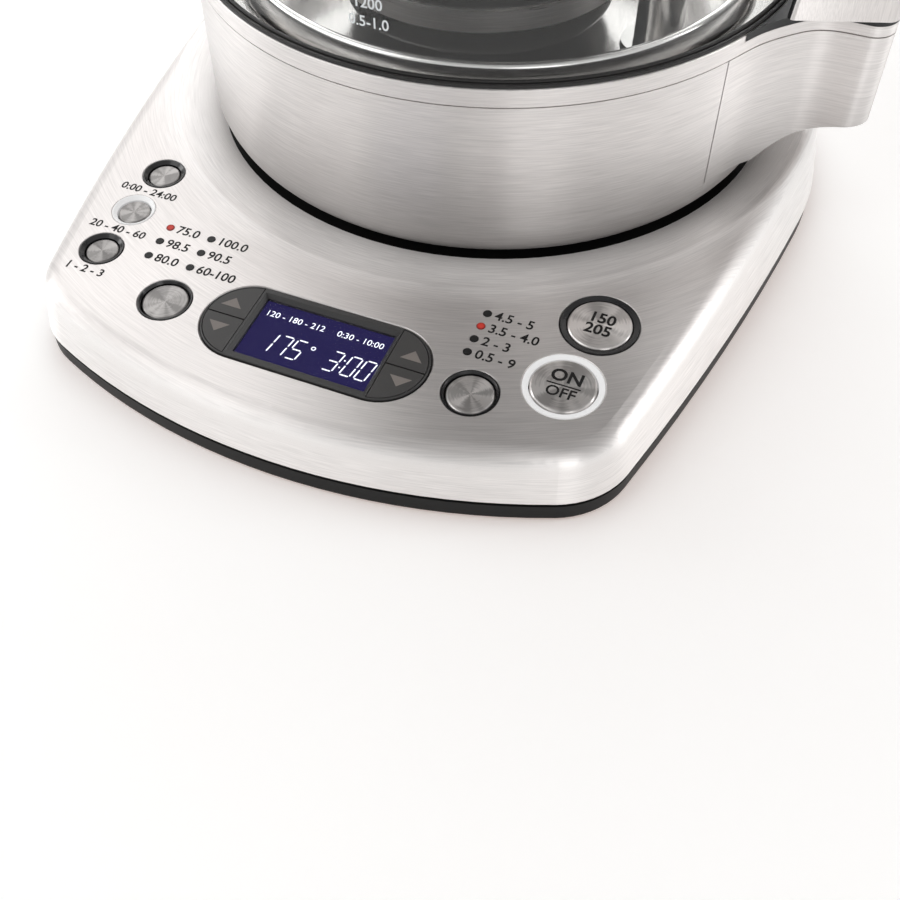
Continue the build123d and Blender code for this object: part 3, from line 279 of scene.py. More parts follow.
# ---------------------------------------------------------------------- the panel's plane
@dataclass(frozen=True)
class PanelPlane:
    """The sloping plane of the control panel.

    Attributes:
        height: of the plane at y = level_y, in metres.
        level_y: where its height is given.
        slope: its rise towards +Y.
        turn: the depths below it between which the cover's scratches turn to the wall's way.
        painted_light_depths: the depths between which a painted light begins on the cover's wall, where its
            steel is painted lighter.
    """

    height: float
    level_y: float
    slope: float
    turn: Point = (2.0 * MM, 6.0 * MM)
    painted_light_depths: Point = (0.1 * MM, 2.8 * MM)

    def z(self, y: float) -> float:
        """Height of the plane at y."""
        return self.height + self.slope * (y - self.level_y)

    def depth(self, tree: ShaderTree) -> Wire:
        """How far a material's point is below the plane."""
        _, y, z = tree.place().parts()
        return y * self.slope + (self.height - self.slope * self.level_y) - z

    def matrix(self, x: float, y: float, lift: float = 0.0) -> Matrix:
        """A place on the panel, turned so that its Z axis is the panel's normal."""
        return (Matrix.Translation((x, y, self.z(y)))
                @ Matrix.Rotation(math.atan(self.slope), 4, "X")
                @ Matrix.Translation((0.0, 0.0, lift)))

    def lift(self, point: Vector) -> float:
        """How far a point stands above the plane, along its normal."""
        return (point.z - self.z(point.y)) / math.hypot(1.0, self.slope)


def press_axis() -> Vector:
    """The direction in which the buttons are pressed."""
    return Vector(next(j["axis"] for j in frame["joints"] if j["name"] == "start_button_press"))


PANEL = PanelPlane(height=22.5 * MM, level_y=-100.0 * MM, slope=-press_axis().y / press_axis().z)


# ---------------------------------------------------------------------- finishes
@dataclass(frozen=True)
class Finish(ABC):
    """What a surface is made of.

    Attributes:
        name: the material's name.
    """

    name: str

    @abstractmethod
    def sockets(self, tree: ShaderTree) -> dict[Key, Any]:
        """What the Principled shader's sockets get."""

    def shader(self, tree: ShaderTree) -> Wire:
        """The surface's shader."""
        return tree.node("ShaderNodeBsdfPrincipled", values=self.sockets(tree))

    def material(self) -> bpy.types.Material:
        """Build the material.

        Returns:
            The finished material.
        """
        tree = ShaderTree(bpy.data.materials.new(self.name))
        tree.surface(self.shader(tree))
        return tree.owner


def shaded(colour: Colour, share: float) -> Colour:
    """A colour made darker or lighter."""
    red, green, blue = (min(1.0, part * share) for part in colour)
    return red, green, blue


class Grain(Enum):
    """How the scratches of a steel surface run."""

    AROUND = "round an upright axis, one above the other"
    PANEL = "round the jug's axis on top, along the wall at the sides"
    SPUN = "round an upright axis, one outside the other"
    UPRIGHT = "up and down"


@dataclass(frozen=True)
class Steel(Finish):
    """Stainless steel or another metal with a grain.  Lengths are in metres.

    Attributes:
        grain: how its scratches run.
        colour: its colour.
        roughness: across the whole surface.
        stretch: how far a highlight spreads across the scratches.
        scratch: width of a fine scratch.
        contrast: how much the scratches change its colour.
        depth: of the scratches.
        centre: the axis that they run round.
        ring_radius: where scratches that run round the axis have their full length.
        painted_sheen_sectors: how much a painted sheen changes its colour from one side of the axis to
            another.
        painted_light_colour: its colour where painted light lies, below the panel and in the dish.
        painted_shade_foot: two heights, between which a painted shade fades out and the colour rises from
            painted_shade_share of itself.
        painted_light_dish: two distances from the axis, between which the painted light round it ends.
        fine_length: of a fine scratch.
        broad: width and length of a broad streak.
        fine_share: share of the fine scratches in the grain.
        streak_gain: how strongly the grain shows in the colour.
        cloud_gain: how strongly wide clouds show in it.
        cloud_scale: clouds in a metre.
        wear: how much the grain changes the roughness.
        painted_sheen_turns: how often that painted sheen changes in a turn round the axis.
        painted_shade_share: how bright the painted shade at the foot is, as a share of the colour.
        painted_light_metal_drop: how much less metallic the steel under that painted light is.
    """

    grain: Grain
    colour: Colour = (0.68, 0.65, 0.635)
    roughness: float = 0.4
    stretch: float = 0.85
    scratch: float = 0.3 * MM
    contrast: float = 0.105
    depth: float = 2.0 * MICRON
    centre: Point = (0.0, 0.0)
    ring_radius: float = 100.0 * MM
    painted_sheen_sectors: float = 0.0
    painted_light_colour: Colour = (0.9, 0.875, 0.86)
    painted_shade_foot: Optional[Point] = None
    painted_light_dish: Optional[Point] = None
    fine_length: float = 9.0 * MM
    broad: Point = (2.0 * MM, 70.0 * MM)
    fine_share: float = 0.85
    streak_gain: float = 2.4
    cloud_gain: float = 0.5
    cloud_scale: float = 12.0
    wear: float = 0.12
    painted_sheen_turns: float = 1.4
    painted_shade_share: float = 0.5
    painted_light_metal_drop: float = 0.45

    def sockets(self, tree: ShaderTree) -> dict[Key, Any]:
        """What the Principled shader's sockets get.

        Args:
            tree: the material's tree.

        Returns:
            A number, a colour or a wire for each socket.
        """
        fine = tree.noise(self.scratch_space(tree, self.scratch, self.fine_length))
        broad = tree.noise(self.scratch_space(tree, *self.broad))
        cloud = tree.noise(tree.place(), self.cloud_scale)
        streak = fine * self.fine_share + broad * (1.0 - self.fine_share)
        tone = (streak - 0.5) * self.streak_gain + (cloud - 0.5) * self.cloud_gain + 0.5
        # Painted sheen: lighter and darker wedges round the axis.
        if self.painted_sheen_sectors:
            tone = tone + self.painted_sheen_tone(tree) * self.painted_sheen_sectors
        colour = self.shades(tree, tone, self.colour)
        metal: Value = 1.0
        # Painted light: below the panel's plane the cover's wall is painted lighter.
        if self.grain is Grain.PANEL:
            below = PANEL.depth(tree).step(*PANEL.painted_light_depths)
            colour = tree.blend(below, colour, self.shades(tree, tone, self.painted_light_colour))
        # Painted shade: the colour is darker towards the foot.
        if self.painted_shade_foot:
            _, _, z = tree.place().parts()
            painted_shade = self.shades(tree, tone, shaded(self.colour, self.painted_shade_share))
            colour = tree.blend(z.step(*self.painted_shade_foot), painted_shade, colour)
        # Painted light: round the jug the cover is painted lighter, and less metallic so that it takes more
        # soft light.
        if self.painted_light_dish:
            near = 1.0 - tree.from_axis(self.centre).length().step(*self.painted_light_dish)
            colour = tree.blend(near, colour, self.shades(tree, tone, self.painted_light_colour))
            metal = 1.0 - near * self.painted_light_metal_drop
        return {
            "Base Color": colour,
            "Metallic": metal,
            "Roughness": (streak - 0.5) * self.wear + self.roughness,
            "Anisotropic": self.stretch,
            "Anisotropic Rotation": 0.25,
            "Normal": tree.bump(streak, self.depth),
        }

    def shades(self, tree: ShaderTree, tone: Wire, colour: Colour) -> Wire:
        """A colour that the scratches make darker and lighter."""
        return tree.blend(tone, shaded(colour, 1.0 - self.contrast), shaded(colour, 1.0 + self.contrast))

    def painted_sheen_tone(self, tree: ShaderTree) -> Wire:
        """Painted sheen: wide lighter and darker wedges round the axis, from about -0.25 to 0.25, and
        others for another axis.

        Args:
            tree: the material's tree.

        Returns:
            The change of tone.
        """
        x, y, _ = tree.from_axis(self.centre).unit().parts()
        seed = (self.centre[0] - self.centre[1]) * 100.0
        return tree.noise(tree.join(x * self.painted_sheen_turns, y * self.painted_sheen_turns, seed), detail=1.0) - 0.5

    def scratch_space(self, tree: ShaderTree, width: float, length: float) -> Wire:
        """Coordinates in which a scratch is as wide as it is long.

        Args:
            tree: the material's tree.
            width: of a scratch, in metres.
            length: of a scratch, in metres.

        Returns:
            A vector for a noise of scale 1.
        """
        x, y, z = tree.place().parts()
        along = 1.0 / length
        across = 1.0 / width
        level = tree.join(x * along, y * along, z * across)
        if self.grain is Grain.AROUND:
            return level
        if self.grain is Grain.UPRIGHT:
            return tree.join(x * across, y * across, z * along)
        way = tree.from_axis(self.centre)
        turn_x, turn_y, _ = way.unit().parts()
        turns = self.ring_radius / length
        spun = tree.join(turn_x * turns, turn_y * turns, way.length() * across)
        if self.grain is Grain.SPUN:
            return spun
        return tree.blend(PANEL.depth(tree).step(*PANEL.turn), spun, level, Mixed.VECTOR)


@dataclass(frozen=True)
class Moulded(Finish):
    """Moulded plastic or rubber with a fine grain, or ink.

    Attributes:
        colour: its colour.
        roughness: across the whole surface.
        grain: size of one grain, in metres.
        depth: of the grain, in metres.
        coat: how much clear gloss lies on it.
        shine: strength of its own reflections, 0.5 for common plastic.
        shares: its darkest and its lightest place, as shares of its colour.
        wear: how much the roughness changes.
        worn_scale: worn places in a metre.
    """

    colour: Colour
    roughness: float = 0.45
    grain: float = 0.5 * MM
    depth: float = 10.0 * MICRON
    coat: float = 0.0
    shine: float = 0.4
    shares: Point = (0.86, 1.16)
    wear: float = 0.12
    worn_scale: float = 30.0

    def sockets(self, tree: ShaderTree) -> dict[Key, Any]:
        """What the Principled shader's sockets get.

        Args:
            tree: the material's tree.

        Returns:
            A number, a colour or a wire for each socket.
        """
        grain = tree.noise(tree.place(), 1.0 / self.grain, 3.0)
        worn = tree.noise(tree.place(), self.worn_scale, 4.0)
        low, high = (shaded(self.colour, share) for share in self.shares)
        return {
            "Base Color": tree.blend(grain * 0.5 + worn * 0.5, low, high),
            "Roughness": (worn - 0.5) * self.wear + self.roughness,
            "Specular IOR Level": self.shine,
            "Coat Weight": self.coat,
            "Coat Roughness": 0.08,
            "Normal": tree.bump(grain, self.depth),
        }


@dataclass(frozen=True)
class Clear(Finish):
    """Clear glass or plastic.

    Attributes:
        ior: index of refraction.
        colour: what it tints light to.
        wave_scale: faint waves in a metre of it.
        ripple: their depth, in metres.
    """

    ior: float
    colour: Colour
    wave_scale: float = 22.0
    ripple: float = 0.1 * MICRON

    def sockets(self, tree: ShaderTree) -> dict[Key, Any]:
        """What the Principled shader's sockets get."""
        wave = tree.noise(tree.place(), self.wave_scale, 1.0)
        return {
            "Base Color": self.colour,
            "Roughness": 0.0,
            "IOR": self.ior,
            "Transmission Weight": 1.0,
            "Normal": tree.bump(wave, self.ripple),
        }


@dataclass(frozen=True)
class Lenses(Finish):
    """Dark lenses, of which some are lit.

    Attributes:
        lit: the lit lenses' centres.
        glow: distances from such a centre between which the light ends, in metres.
        dark: the darkest and the lightest colour of an unlit lens.
        red: colour of a lit lens.
        light: colour of its light.
        strength: of its light.
        speck_scale: specks in a metre.
        roughness: at the smoothest speck and at the roughest.
    """

    lit: Sequence[Point]
    glow: Point = (0.3675 * MM, 1.575 * MM)
    dark: tuple[Colour, Colour] = ((0.004, 0.004, 0.004), (0.014, 0.014, 0.014))
    red: Colour = (0.42, 0.03, 0.02)
    light: Colour = (0.75, 0.05, 0.03)
    strength: float = 0.25
    speck_scale: float = 3000.0
    roughness: Point = (0.3, 0.5)

    def sockets(self, tree: ShaderTree) -> dict[Key, Any]:
        """What the Principled shader's sockets get.

        Args:
            tree: the material's tree.

        Returns:
            A number, a colour or a wire for each socket.
        """
        glow: Value = 0.0
        for centre in self.lit:
            glow = (1.0 - tree.from_axis(centre).length().step(*self.glow)) + glow
        speck = tree.noise(tree.place(), self.speck_scale)
        smooth, rough = self.roughness
        return {
            "Base Color": tree.blend(glow, tree.blend(speck, *self.dark), self.red),
            "Roughness": speck * (rough - smooth) + smooth,
            "Specular IOR Level": 0.3,
            "Emission Color": tree.blend(glow, BLACK, self.light),
            "Emission Strength": self.strength,
        }


@dataclass(frozen=True)
class Glowing(Finish):
    """A surface that gives light of its own, evenly but for a faint mottle.

    Attributes:
        colour: of the surface.
        glow: colour of its light.
        strength: of its light.
        roughness: across the whole surface.
        shine: strength of its reflections.
        dimmest: share of the light at the dimmest place.
        mottle_scale: dim places in a metre.
        mottle_wear: how much rougher its brightest place is.
    """

    colour: Colour
    glow: Colour
    strength: float
    roughness: float = 0.3
    shine: float = 0.5
    dimmest: float = 0.88
    mottle_scale: float = 240.0
    mottle_wear: float = 0.1

    def sockets(self, tree: ShaderTree) -> dict[Key, Any]:
        """What the Principled shader's sockets get."""
        mottle = tree.noise(tree.place(), self.mottle_scale)
        return {
            "Base Color": self.colour,
            "Specular IOR Level": self.shine,
            "Roughness": mottle * self.mottle_wear + self.roughness,
            "Emission Color": tree.blend(mottle, shaded(self.glow, self.dimmest), self.glow),
            "Emission Strength": self.strength,
        }


@dataclass(frozen=True)
class Paper(Finish):
    """The floor's paper, which glows where a ray of the camera, a mirror image or glass meets it.

    Attributes:
        colours: its darkest and its lightest colour.
        near_glow: what it adds near the object, where the lamps reach.
        far_glow: what it adds far from it, where they don't.
        fade: distances between which the one gives way to the other, in metres.
        grain_scale: grains in a metre.
    """

    colours: tuple[Colour, Colour] = ((0.79, 0.89, 0.92), (0.81, 0.91, 0.94))
    near_glow: Colour = (0.34, 0.245, 0.21)
    far_glow: Colour = (0.63, 0.58, 0.57)
    fade: Point = (0.5, 2.0)
    grain_scale: float = 900.0

    def sockets(self, tree: ShaderTree) -> dict[Key, Any]:
        """What the Principled shader's sockets get."""
        grain = tree.noise(tree.place(), self.grain_scale)
        return {"Base Color": tree.blend(grain, *self.colours), "Roughness": 0.9, "Specular IOR Level": 0.0}

    def shader(self, tree: ShaderTree) -> Wire:
        """The paper's shader, with its glow on top.

        Args:
            tree: the material's tree.

        Returns:
            The shader's wire.
        """
        colour = tree.blend(tree.place().length().step(*self.fade), self.near_glow, self.far_glow)
        glow = tree.node("ShaderNodeEmission", values={"Color": colour, "Strength": tree.seen()})
        return tree.node("ShaderNodeAddShader", values={0: super().shader(tree), 1: glow})


# ---------------------------------------------------------------------- meshes
def put(name: str, data: bpy.types.ID) -> bpy.types.Object:
    """Put a mesh, a text, a light or a camera into the scene, at the origin.

    Args:
        name: the object's name.
        data: what it shows.

    Returns:
        The object.
    """
    made = bpy.data.objects.new(name, data)
    bpy.context.scene.collection.objects.link(made)
    return made


def make_piece(name: str, work: bmesh.types.BMesh, material: bpy.types.Material,
               sharp: float = 35.0) -> bpy.types.Object:
    """Turn finished mesh work into an object.

    Args:
        name: the piece's name.
        work: its mesh, in place, which is freed.
        material: its material.
        sharp: the angle from which an edge is sharp, in degrees.

    Returns:
        The object, at the origin.
    """
    mesh = bpy.data.meshes.new(name)
    work.to_mesh(mesh)
    work.free()
    mesh.materials.append(material)
    mesh.shade_smooth()
    mesh.set_sharp_from_angle(angle=math.radians(sharp))
    log.info("piece %s: %d faces", name, len(mesh.polygons))
    return put(name, mesh)


def evaluated(holder: bpy.types.Object) -> bmesh.types.BMesh:
    """The mesh that a text or a modifier gives, with its doubles merged.

    Args:
        holder: the object that has it, which is removed.

    Returns:
        The plain mesh.
    """
    bpy.context.view_layer.update()
    mesh = bpy.data.meshes.new_from_object(holder.evaluated_get(bpy.context.evaluated_depsgraph_get()))
    work = bmesh.new()
    work.from_mesh(mesh)
    data = holder.data
    holder.modifiers.clear()
    bpy.data.objects.remove(holder)
    bpy.data.batch_remove([data, mesh])
    bmesh.ops.remove_doubles(work, verts=work.verts, dist=TOUCHING)
    return work


def arc(centre: Point, radius: float, start: float, end: float, steps: int = 8) -> list[Point]:
    """Points of an arc in a profile, with angles in degrees."""
    angles = [math.radians(start + (end - start) * i / steps) for i in range(steps + 1)]
    return [(centre[0] + radius * math.cos(a), centre[1] + radius * math.sin(a)) for a in angles]


def bend(start: Point, middle: Point, end: Point, steps: int) -> list[Point]:
    """Points of the arc through three points.

    Args:
        start: its first point.
        middle: a point between the ends.
        end: its last point.
        steps: how many pieces it is cut into.

    Returns:
        The points, from start to end.
    """
    (ax, ay), (bx, by), (cx, cy) = start, middle, end
    a, b, c = ax**2 + ay**2, bx**2 + by**2, cx**2 + cy**2
    twice = 2 * (ax * (by - cy) + bx * (cy - ay) + cx * (ay - by))
    x = (a * (by - cy) + b * (cy - ay) + c * (ay - by)) / twice
    y = (a * (cx - bx) + b * (ax - cx) + c * (bx - ax)) / twice
    first = math.degrees(math.atan2(ay - y, ax - x))
    last = math.degrees(math.atan2(cy - y, cx - x))
    return arc((x, y), math.dist((x, y), start), first, last, steps)


def lathe(profile: Sequence[Point], steps: int, centre: Point = (0.0, 0.0)) -> bmesh.types.BMesh:
    """Turn a closed profile round an upright axis.

    Args:
        profile: radius and height of each point, in order round the wall's section.
        steps: faces in one turn.
        centre: where the axis is.

    Returns:
        The closed mesh, with its faces outward.
    """
    work = bmesh.new()
    angles = [2 * math.pi * i / steps for i in range(steps)]
    rings = [
        [work.verts.new((centre[0] + radius * math.cos(a), centre[1] + radius * math.sin(a), height))
         for a in (angles if radius > TOUCHING else angles[:1])]
        for radius, height in profile
    ]
    for first, second in zip(rings, rings[1:] + rings[:1]):
        if len(first) + len(second) == 2:
            continue
        for i in range(steps):
            j = (i + 1) % steps
            corners = (first[i % len(first)], first[j % len(first)],
                       second[j % len(second)], second[i % len(second)])
            work.faces.new(list(dict.fromkeys(corners)))
    bmesh.ops.recalc_face_normals(work, faces=work.faces)
    return work


def prism(outline: Sequence[Point], thickness: float, place: Matrix) -> bmesh.types.BMesh:
    """A flat plate of any outline, standing on the plane z = 0 of its place.

    Args:
        outline: its corners, in order.
        thickness: of the plate, in metres.
        place: where it stands.

    Returns:
        The closed mesh.
    """
    work = bmesh.new()
    low = [work.verts.new((x, y, 0.0)) for x, y in outline]
    high = [work.verts.new((x, y, thickness)) for x, y in outline]
    work.faces.new(high)
    work.faces.new(low[::-1])
    for i in range(len(outline)):
        j = (i + 1) % len(outline)
        work.faces.new((low[i], low[j], high[j], high[i]))
    bmesh.ops.recalc_face_normals(work, faces=work.faces)
    work.transform(place)
    return work


def plate(half_width: float, half_height: float, lean: float = 0.0) -> list[Point]:
    """A rectangle's outline round the origin, or that of one that is moved sideways."""
    return [(-half_width + lean, -half_height), (half_width + lean, -half_height),
            (half_width + lean, half_height), (-half_width + lean, half_height)]


def merged(parts: Iterable[bmesh.types.BMesh]) -> bmesh.types.BMesh:
    """Several meshes as one; the parts are freed.

    Args:
        parts: the meshes.

    Returns:
        The one mesh.
    """
    whole = bmesh.new()
    for part in parts:
        mesh = bpy.data.meshes.new("part")
        part.to_mesh(mesh)
        part.free()
        whole.from_mesh(mesh)
        bpy.data.meshes.remove(mesh)
    return whole


class Align(Enum):
    """Which part of a printed line stands at its place."""

    START = "LEFT"
    MIDDLE = "CENTER"


def text(body: str, size: float, thickness: float, place: Matrix, bold: float = 0.0,
         align: Align = Align.MIDDLE) -> bmesh.types.BMesh:
    """Raised print.

    Args:
        body: what is printed.
        size: letter size, in metres.
        thickness: of the print, in metres.
        place: the plane that it stands on, with its own centre line.
        bold: how far the strokes are widened, in metres.
        align: which part of the line stands at the place.

    Returns:
        The closed mesh.
    """
    curve = bpy.data.curves.new("text", "FONT")
    curve.body = body
    curve.size = size
    curve.extrude = thickness / 2
    curve.offset = bold
    curve.align_x = align.value
    curve.align_y = "CENTER"
    curve.resolution_u = 3
    work = evaluated(put("text", curve))
    work.transform(place @ Matrix.Translation((0.0, 0.0, thickness / 2)))
    return work


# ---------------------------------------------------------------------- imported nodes
def dress(finish: Finish, *nodes: str) -> bpy.types.Material:
    """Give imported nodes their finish.

    Args:
        finish: what they are made of.
        nodes: their names.

    Returns:
        The material, for pieces of the same finish.
    """
    material = finish.material()
    for name in nodes:
        for slot in frame["nodes"][name].material_slots:
            slot.material = material
        log.info("node %s: %s", name, material.name)
    return material


def keep(made: bpy.types.Object, body: str, slot: str, *nodes: str) -> None:
    """Let a piece ride on a body and hide the imported nodes that it replaces.

    Args:
        made: the piece.
        body: the body that it moves with.
        slot: not used.
        nodes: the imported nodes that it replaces.
    """
    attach(made, body)
    if nodes:
        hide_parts(*nodes)


def cap_top(node: str) -> Place:
    """Where a cap's flat top is: x and y of its foot on the panel's plane, and its lift.

    Args:
        node: the cap's node.

    Returns:
        The three lengths, in metres.
    """
    points = [v.co for v in frame["nodes"][node].data.vertices]
    lift = max(PANEL.lift(p) for p in points)
    flat = 0.02 * MM
    top = [p for p in points if PANEL.lift(p) > lift - flat]
    x, y = ((min(values) + max(values)) / 2 for values in zip(*((p.x, p.y) for p in top)))
    return x, y + PANEL.slope * lift, lift


def round_box(node: str) -> tuple[float, float, float, float]:
    """Centre x, radius, lowest and highest z of a round node."""
    low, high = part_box(node)
    return (low.x + high.x) / 2, (high.x - low.x) / 2, low.z, high.z


# ---------------------------------------------------------------------- geometry nodes
class GeometryTree(NodeTree):
    """A Geometry Nodes tree with named inputs, for what repeats."""

    def __init__(self, name: str) -> None:
        """Start a tree that takes a geometry and a material, and gives a geometry.

        Args:
            name: the tree's name.
        """
        super().__init__(bpy.data.node_groups.new(name, "GeometryNodeTree"))
        self.tree.interface.new_socket("Geometry", in_out="OUTPUT", socket_type="NodeSocketGeometry")
        self.given = self.node("NodeGroupInput")
        (self.geometry,) = self.inputs("Geometry", "Geometry")
        (self.material,) = self.inputs("Material", "Material")

    def inputs(self, kind: str, *names: str) -> list[Wire]:
        """Add named inputs.

        Args:
            kind: their sockets' type, such as Float or Int.
            names: their names.

        Returns:
            The wires that give their values inside the tree.
        """
        for name in names:
            self.tree.interface.new_socket(name, in_out="INPUT", socket_type="NodeSocket" + kind)
        return [self.given.other(name) for name in names]

    def upright(self, vertices: int, radius: Wire, height: Wire) -> Wire:
        """A cylinder that stands on the origin."""
        rod = self.node("GeometryNodeMeshCylinder",
                        values={"Vertices": vertices, "Radius": radius, "Depth": height})
        return self.node("GeometryNodeTransform",
                         values={"Geometry": rod, "Translation": self.join(0.0, 0.0, height * 0.5)})

    def cut(self, mesh: Wire, cutters: list[Wire]) -> Wire:
        """A mesh from which others are cut."""
        return self.node("GeometryNodeMeshBoolean", {"operation": "DIFFERENCE", "solver": "MANIFOLD"},
                         {"Mesh 1": mesh, "Mesh 2": cutters})

    def copies(self, mesh: Wire, points: Wire, turn: Any = (0.0, 0.0, 0.0)) -> Wire:
        """A copy of a mesh on each point."""
        return self.node("GeometryNodeInstanceOnPoints",
                         values={"Points": points, "Instance": mesh, "Rotation": turn})

    def real(self, copies: Wire) -> Wire:
        """Copies as one mesh."""
        return self.node("GeometryNodeRealizeInstances", values={0: copies})

    def end(self, geometry: Wire) -> "GeometryTree":
        """Close the tree in Realize Instances and Set Material, and give it back.

        Args:
            geometry: what the tree has made.

        Returns:
            The tree.
        """
        painted = self.node("GeometryNodeSetMaterial",
                            values={"Geometry": self.real(geometry), "Material": self.material})
        self.node("NodeGroupOutput", values={0: painted})
        return self

    def run(self, name: str, base: bmesh.types.BMesh, values: dict[str, Any],
            material: bpy.types.Material) -> bpy.types.Object:
        """Run the tree once and keep its result as a plain mesh.

        Args:
            name: the piece's name.
            base: the mesh that goes in, which is freed.
            values: a value for each named input.
            material: the piece's material.

        Returns:
            The finished piece.
        """
        mesh = bpy.data.meshes.new(name + "_base")
        base.to_mesh(mesh)
        base.free()
        holder = put(name + "_base", mesh)
        modifier = holder.modifiers.new("nodes", "NODES")
        modifier.node_group = self.tree
        identifiers = {item.name: item.identifier for item in self.tree.interface.items_tree}
        for key, value in (values | {"Material": material}).items():
            modifier[identifiers[key]] = value
        return make_piece(name, evaluated(holder), material)


def perforation_tree() -> GeometryTree:
    """A sheet from which rows of round holes are cut all the way round.

    Returns:
        The tree.
    """
    tree = GeometryTree("perforation")
    radius, lowest, pitch, hole, reach, centre = tree.inputs(
        "Float", "Radius", "Lowest row", "Row pitch", "Hole radius", "Hole length", "Centre x")
    rows, columns = tree.inputs("Int", "Rows", "Columns")
    index = tree.node("GeometryNodeInputIndex")
    row = tree.maths("FLOOR", index / columns)
    angle = (row * 0.5 + tree.maths("MODULO", index, columns)) / columns * (2 * math.pi)
    x = tree.maths("COSINE", angle) * radius + centre
    y = tree.maths("SINE", angle) * radius
    points = tree.node("GeometryNodePoints", values={"Count": rows * columns})
    placed = tree.node("GeometryNodeSetPosition",
                       values={"Geometry": points, "Position": tree.join(x, y, row * pitch + lowest)})
    cutter = tree.node("GeometryNodeMeshCylinder", values={"Vertices": 8, "Radius": hole, "Depth": reach})
    cutters = tree.real(tree.copies(cutter, placed, tree.join(0.0, math.pi / 2, angle)))
    return tree.end(tree.cut(tree.geometry, [cutters]))


def screw_tree() -> GeometryTree:
    """A cross-head screw on each point, its head down.

    Returns:
        The tree.
    """
    tree = GeometryTree("screws")
    head, head_height, shank, length, recess = tree.inputs(
        "Float", "Head radius", "Head height", "Shank radius", "Length", "Recess depth")
    solid = tree.node("GeometryNodeMeshBoolean", {"operation": "UNION", "solver": "MANIFOLD"},
                      {"Mesh 2": [tree.upright(32, head, head_height), tree.upright(24, shank, length)]})
    arm_share, slot_share = 1.1, 0.26
    arm, slim = head * arm_share, head * slot_share
    bars = [tree.node("GeometryNodeMeshCube", values={"Size": tree.join(x, y, recess * 2.0)})
            for x, y in ((arm, slim), (slim, arm))]
    return tree.end(tree.copies(tree.cut(solid, bars), tree.geometry))


def rib_tree() -> GeometryTree:
    """A round rib about the Y axis on each point.

    Returns:
        The tree.
    """
    tree = GeometryTree("ribs")
    radius, thickness = tree.inputs("Float", "Radius", "Thickness")
    path = tree.node("GeometryNodeCurvePrimitiveCircle", values={"Resolution": 48, "Radius": radius})
    section = tree.node("GeometryNodeCurvePrimitiveCircle", values={"Resolution": 10, "Radius": thickness})
    ring = tree.node("GeometryNodeCurveToMesh", values={"Curve": path, "Profile Curve": section})
    turned = tree.node("GeometryNodeTransform",
                       values={"Geometry": ring, "Rotation": (math.pi / 2, 0.0, 0.0)})
    return tree.end(tree.copies(turned, tree.geometry))


def points_mesh(places: Iterable[Place]) -> bmesh.types.BMesh:
    """Loose points to put copies on.

    Args:
        places: where the points are.

    Returns:
        The mesh.
    """
    work = bmesh.new()
    for place in places:
        work.verts.new(place)
    return work


# ---------------------------------------------------------------------- power base
@dataclass
class PowerBase:
    """Steel cover, black tray, well, plug, feet, inlet and screws.  Lengths are in metres.

    Attributes:
        dish: distances from the jug's axis between which the cover's painted light round the jug ends.
        screw_head: radius of a screw's head.
        head_height: of a screw's head.
        screw_shank: radius of a screw's shank.
        screw_recess: depth of its cross.
        rib_radius: of a rib's wire.
        rib_count: ribs on the cord inlet.
        rib_pitch: between two ribs.
        barrel: radius of the inlet under them.
    """

    dish: Point = (88.0 * MM, 103.0 * MM)
    screw_head: float = 2.8 * MM
    head_height: float = 1.5 * MM
    screw_shank: float = 1.3 * MM
    screw_recess: float = 0.9 * MM
    rib_radius: float = 0.45 * MM
    rib_count: int = 2
    rib_pitch: float = 1.3 * MM
    barrel: float = 5.5 * MM

    def build(self) -> None:
        """Dress the base's nodes and add its pieces."""
        # Painted light: the cover is painted lighter on its wall and round the jug.
        dress(Steel("cover_steel", Grain.PANEL, painted_light_dish=self.dish), "top_cover")
        dress(Moulded("tray_plastic", (0.016, 0.0155, 0.0155), grain=0.4 * MM, depth=8 * MICRON,
                      shine=0.15),
              "base_tray", "seat_disc", "base_connector")
        dress(Steel("contact_brass", Grain.SPUN, (0.72, 0.52, 0.24), roughness=0.25, stretch=0.4),
              "contact_rings")
        rubber = dress(Moulded("foot_rubber", (0.03, 0.03, 0.03), roughness=0.75, grain=0.9 * MM,
                               depth=30 * MICRON),
                       "foot_ring", "front_feet", "cord_gland")
        zinc = Steel("screw_steel", Grain.SPUN, (0.5, 0.5, 0.5), roughness=0.35, stretch=0.2).material()
        for node in ("panel_screws", "seat_screws"):
            self.screws(node, zinc)
        self.gland_ribs(rubber)

    def screws(self, node: str, material: bpy.types.Material) -> None:
        """Cross-head screws in place of a group of plain ones.

        Args:
            node: the node of the plain screws.
            material: their material.
        """
        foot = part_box(node)[0].z
        level = 0.01 * MM
        points = [v.co for v in frame["nodes"][node].data.vertices]
        seats = sorted({(round(p.x / MM, 1), round(p.y / MM, 1)) for p in points if p.z < foot + level})
        for number, group in enumerate(cluster(seats, 2.5 * self.screw_head / MM)):
            x, y = ((min(values) + max(values)) / 2 * MM for values in zip(*group))
            top = max(p.z for p in points if math.hypot(p.x - x, p.y - y) < self.screw_head)
            sizes = {"Head radius": self.screw_head, "Head height": self.head_height,
                     "Shank radius": self.screw_shank, "Length": top - foot,
                     "Recess depth": self.screw_recess}
            made = screw_tree().run(f"{node[:-1]}_{number}", points_mesh([(x, y, foot)]), sizes, material)
            keep(made, "base", "plain_steel", node)

    def gland_ribs(self, material: bpy.types.Material) -> None:
        """Grip ribs on the cord inlet's end.

        Args:
            material: their material.
        """
        low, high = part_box("cord_gland")
        places = [(0.0, high.y - self.rib_radius - i * self.rib_pitch, (low.z + high.z) / 2)
                  for i in range(self.rib_count)]
        made = rib_tree().run("inlet_ribs", points_mesh(places),
                              {"Radius": self.barrel, "Thickness": self.rib_radius}, material)
        keep(made, "base", "rubber")


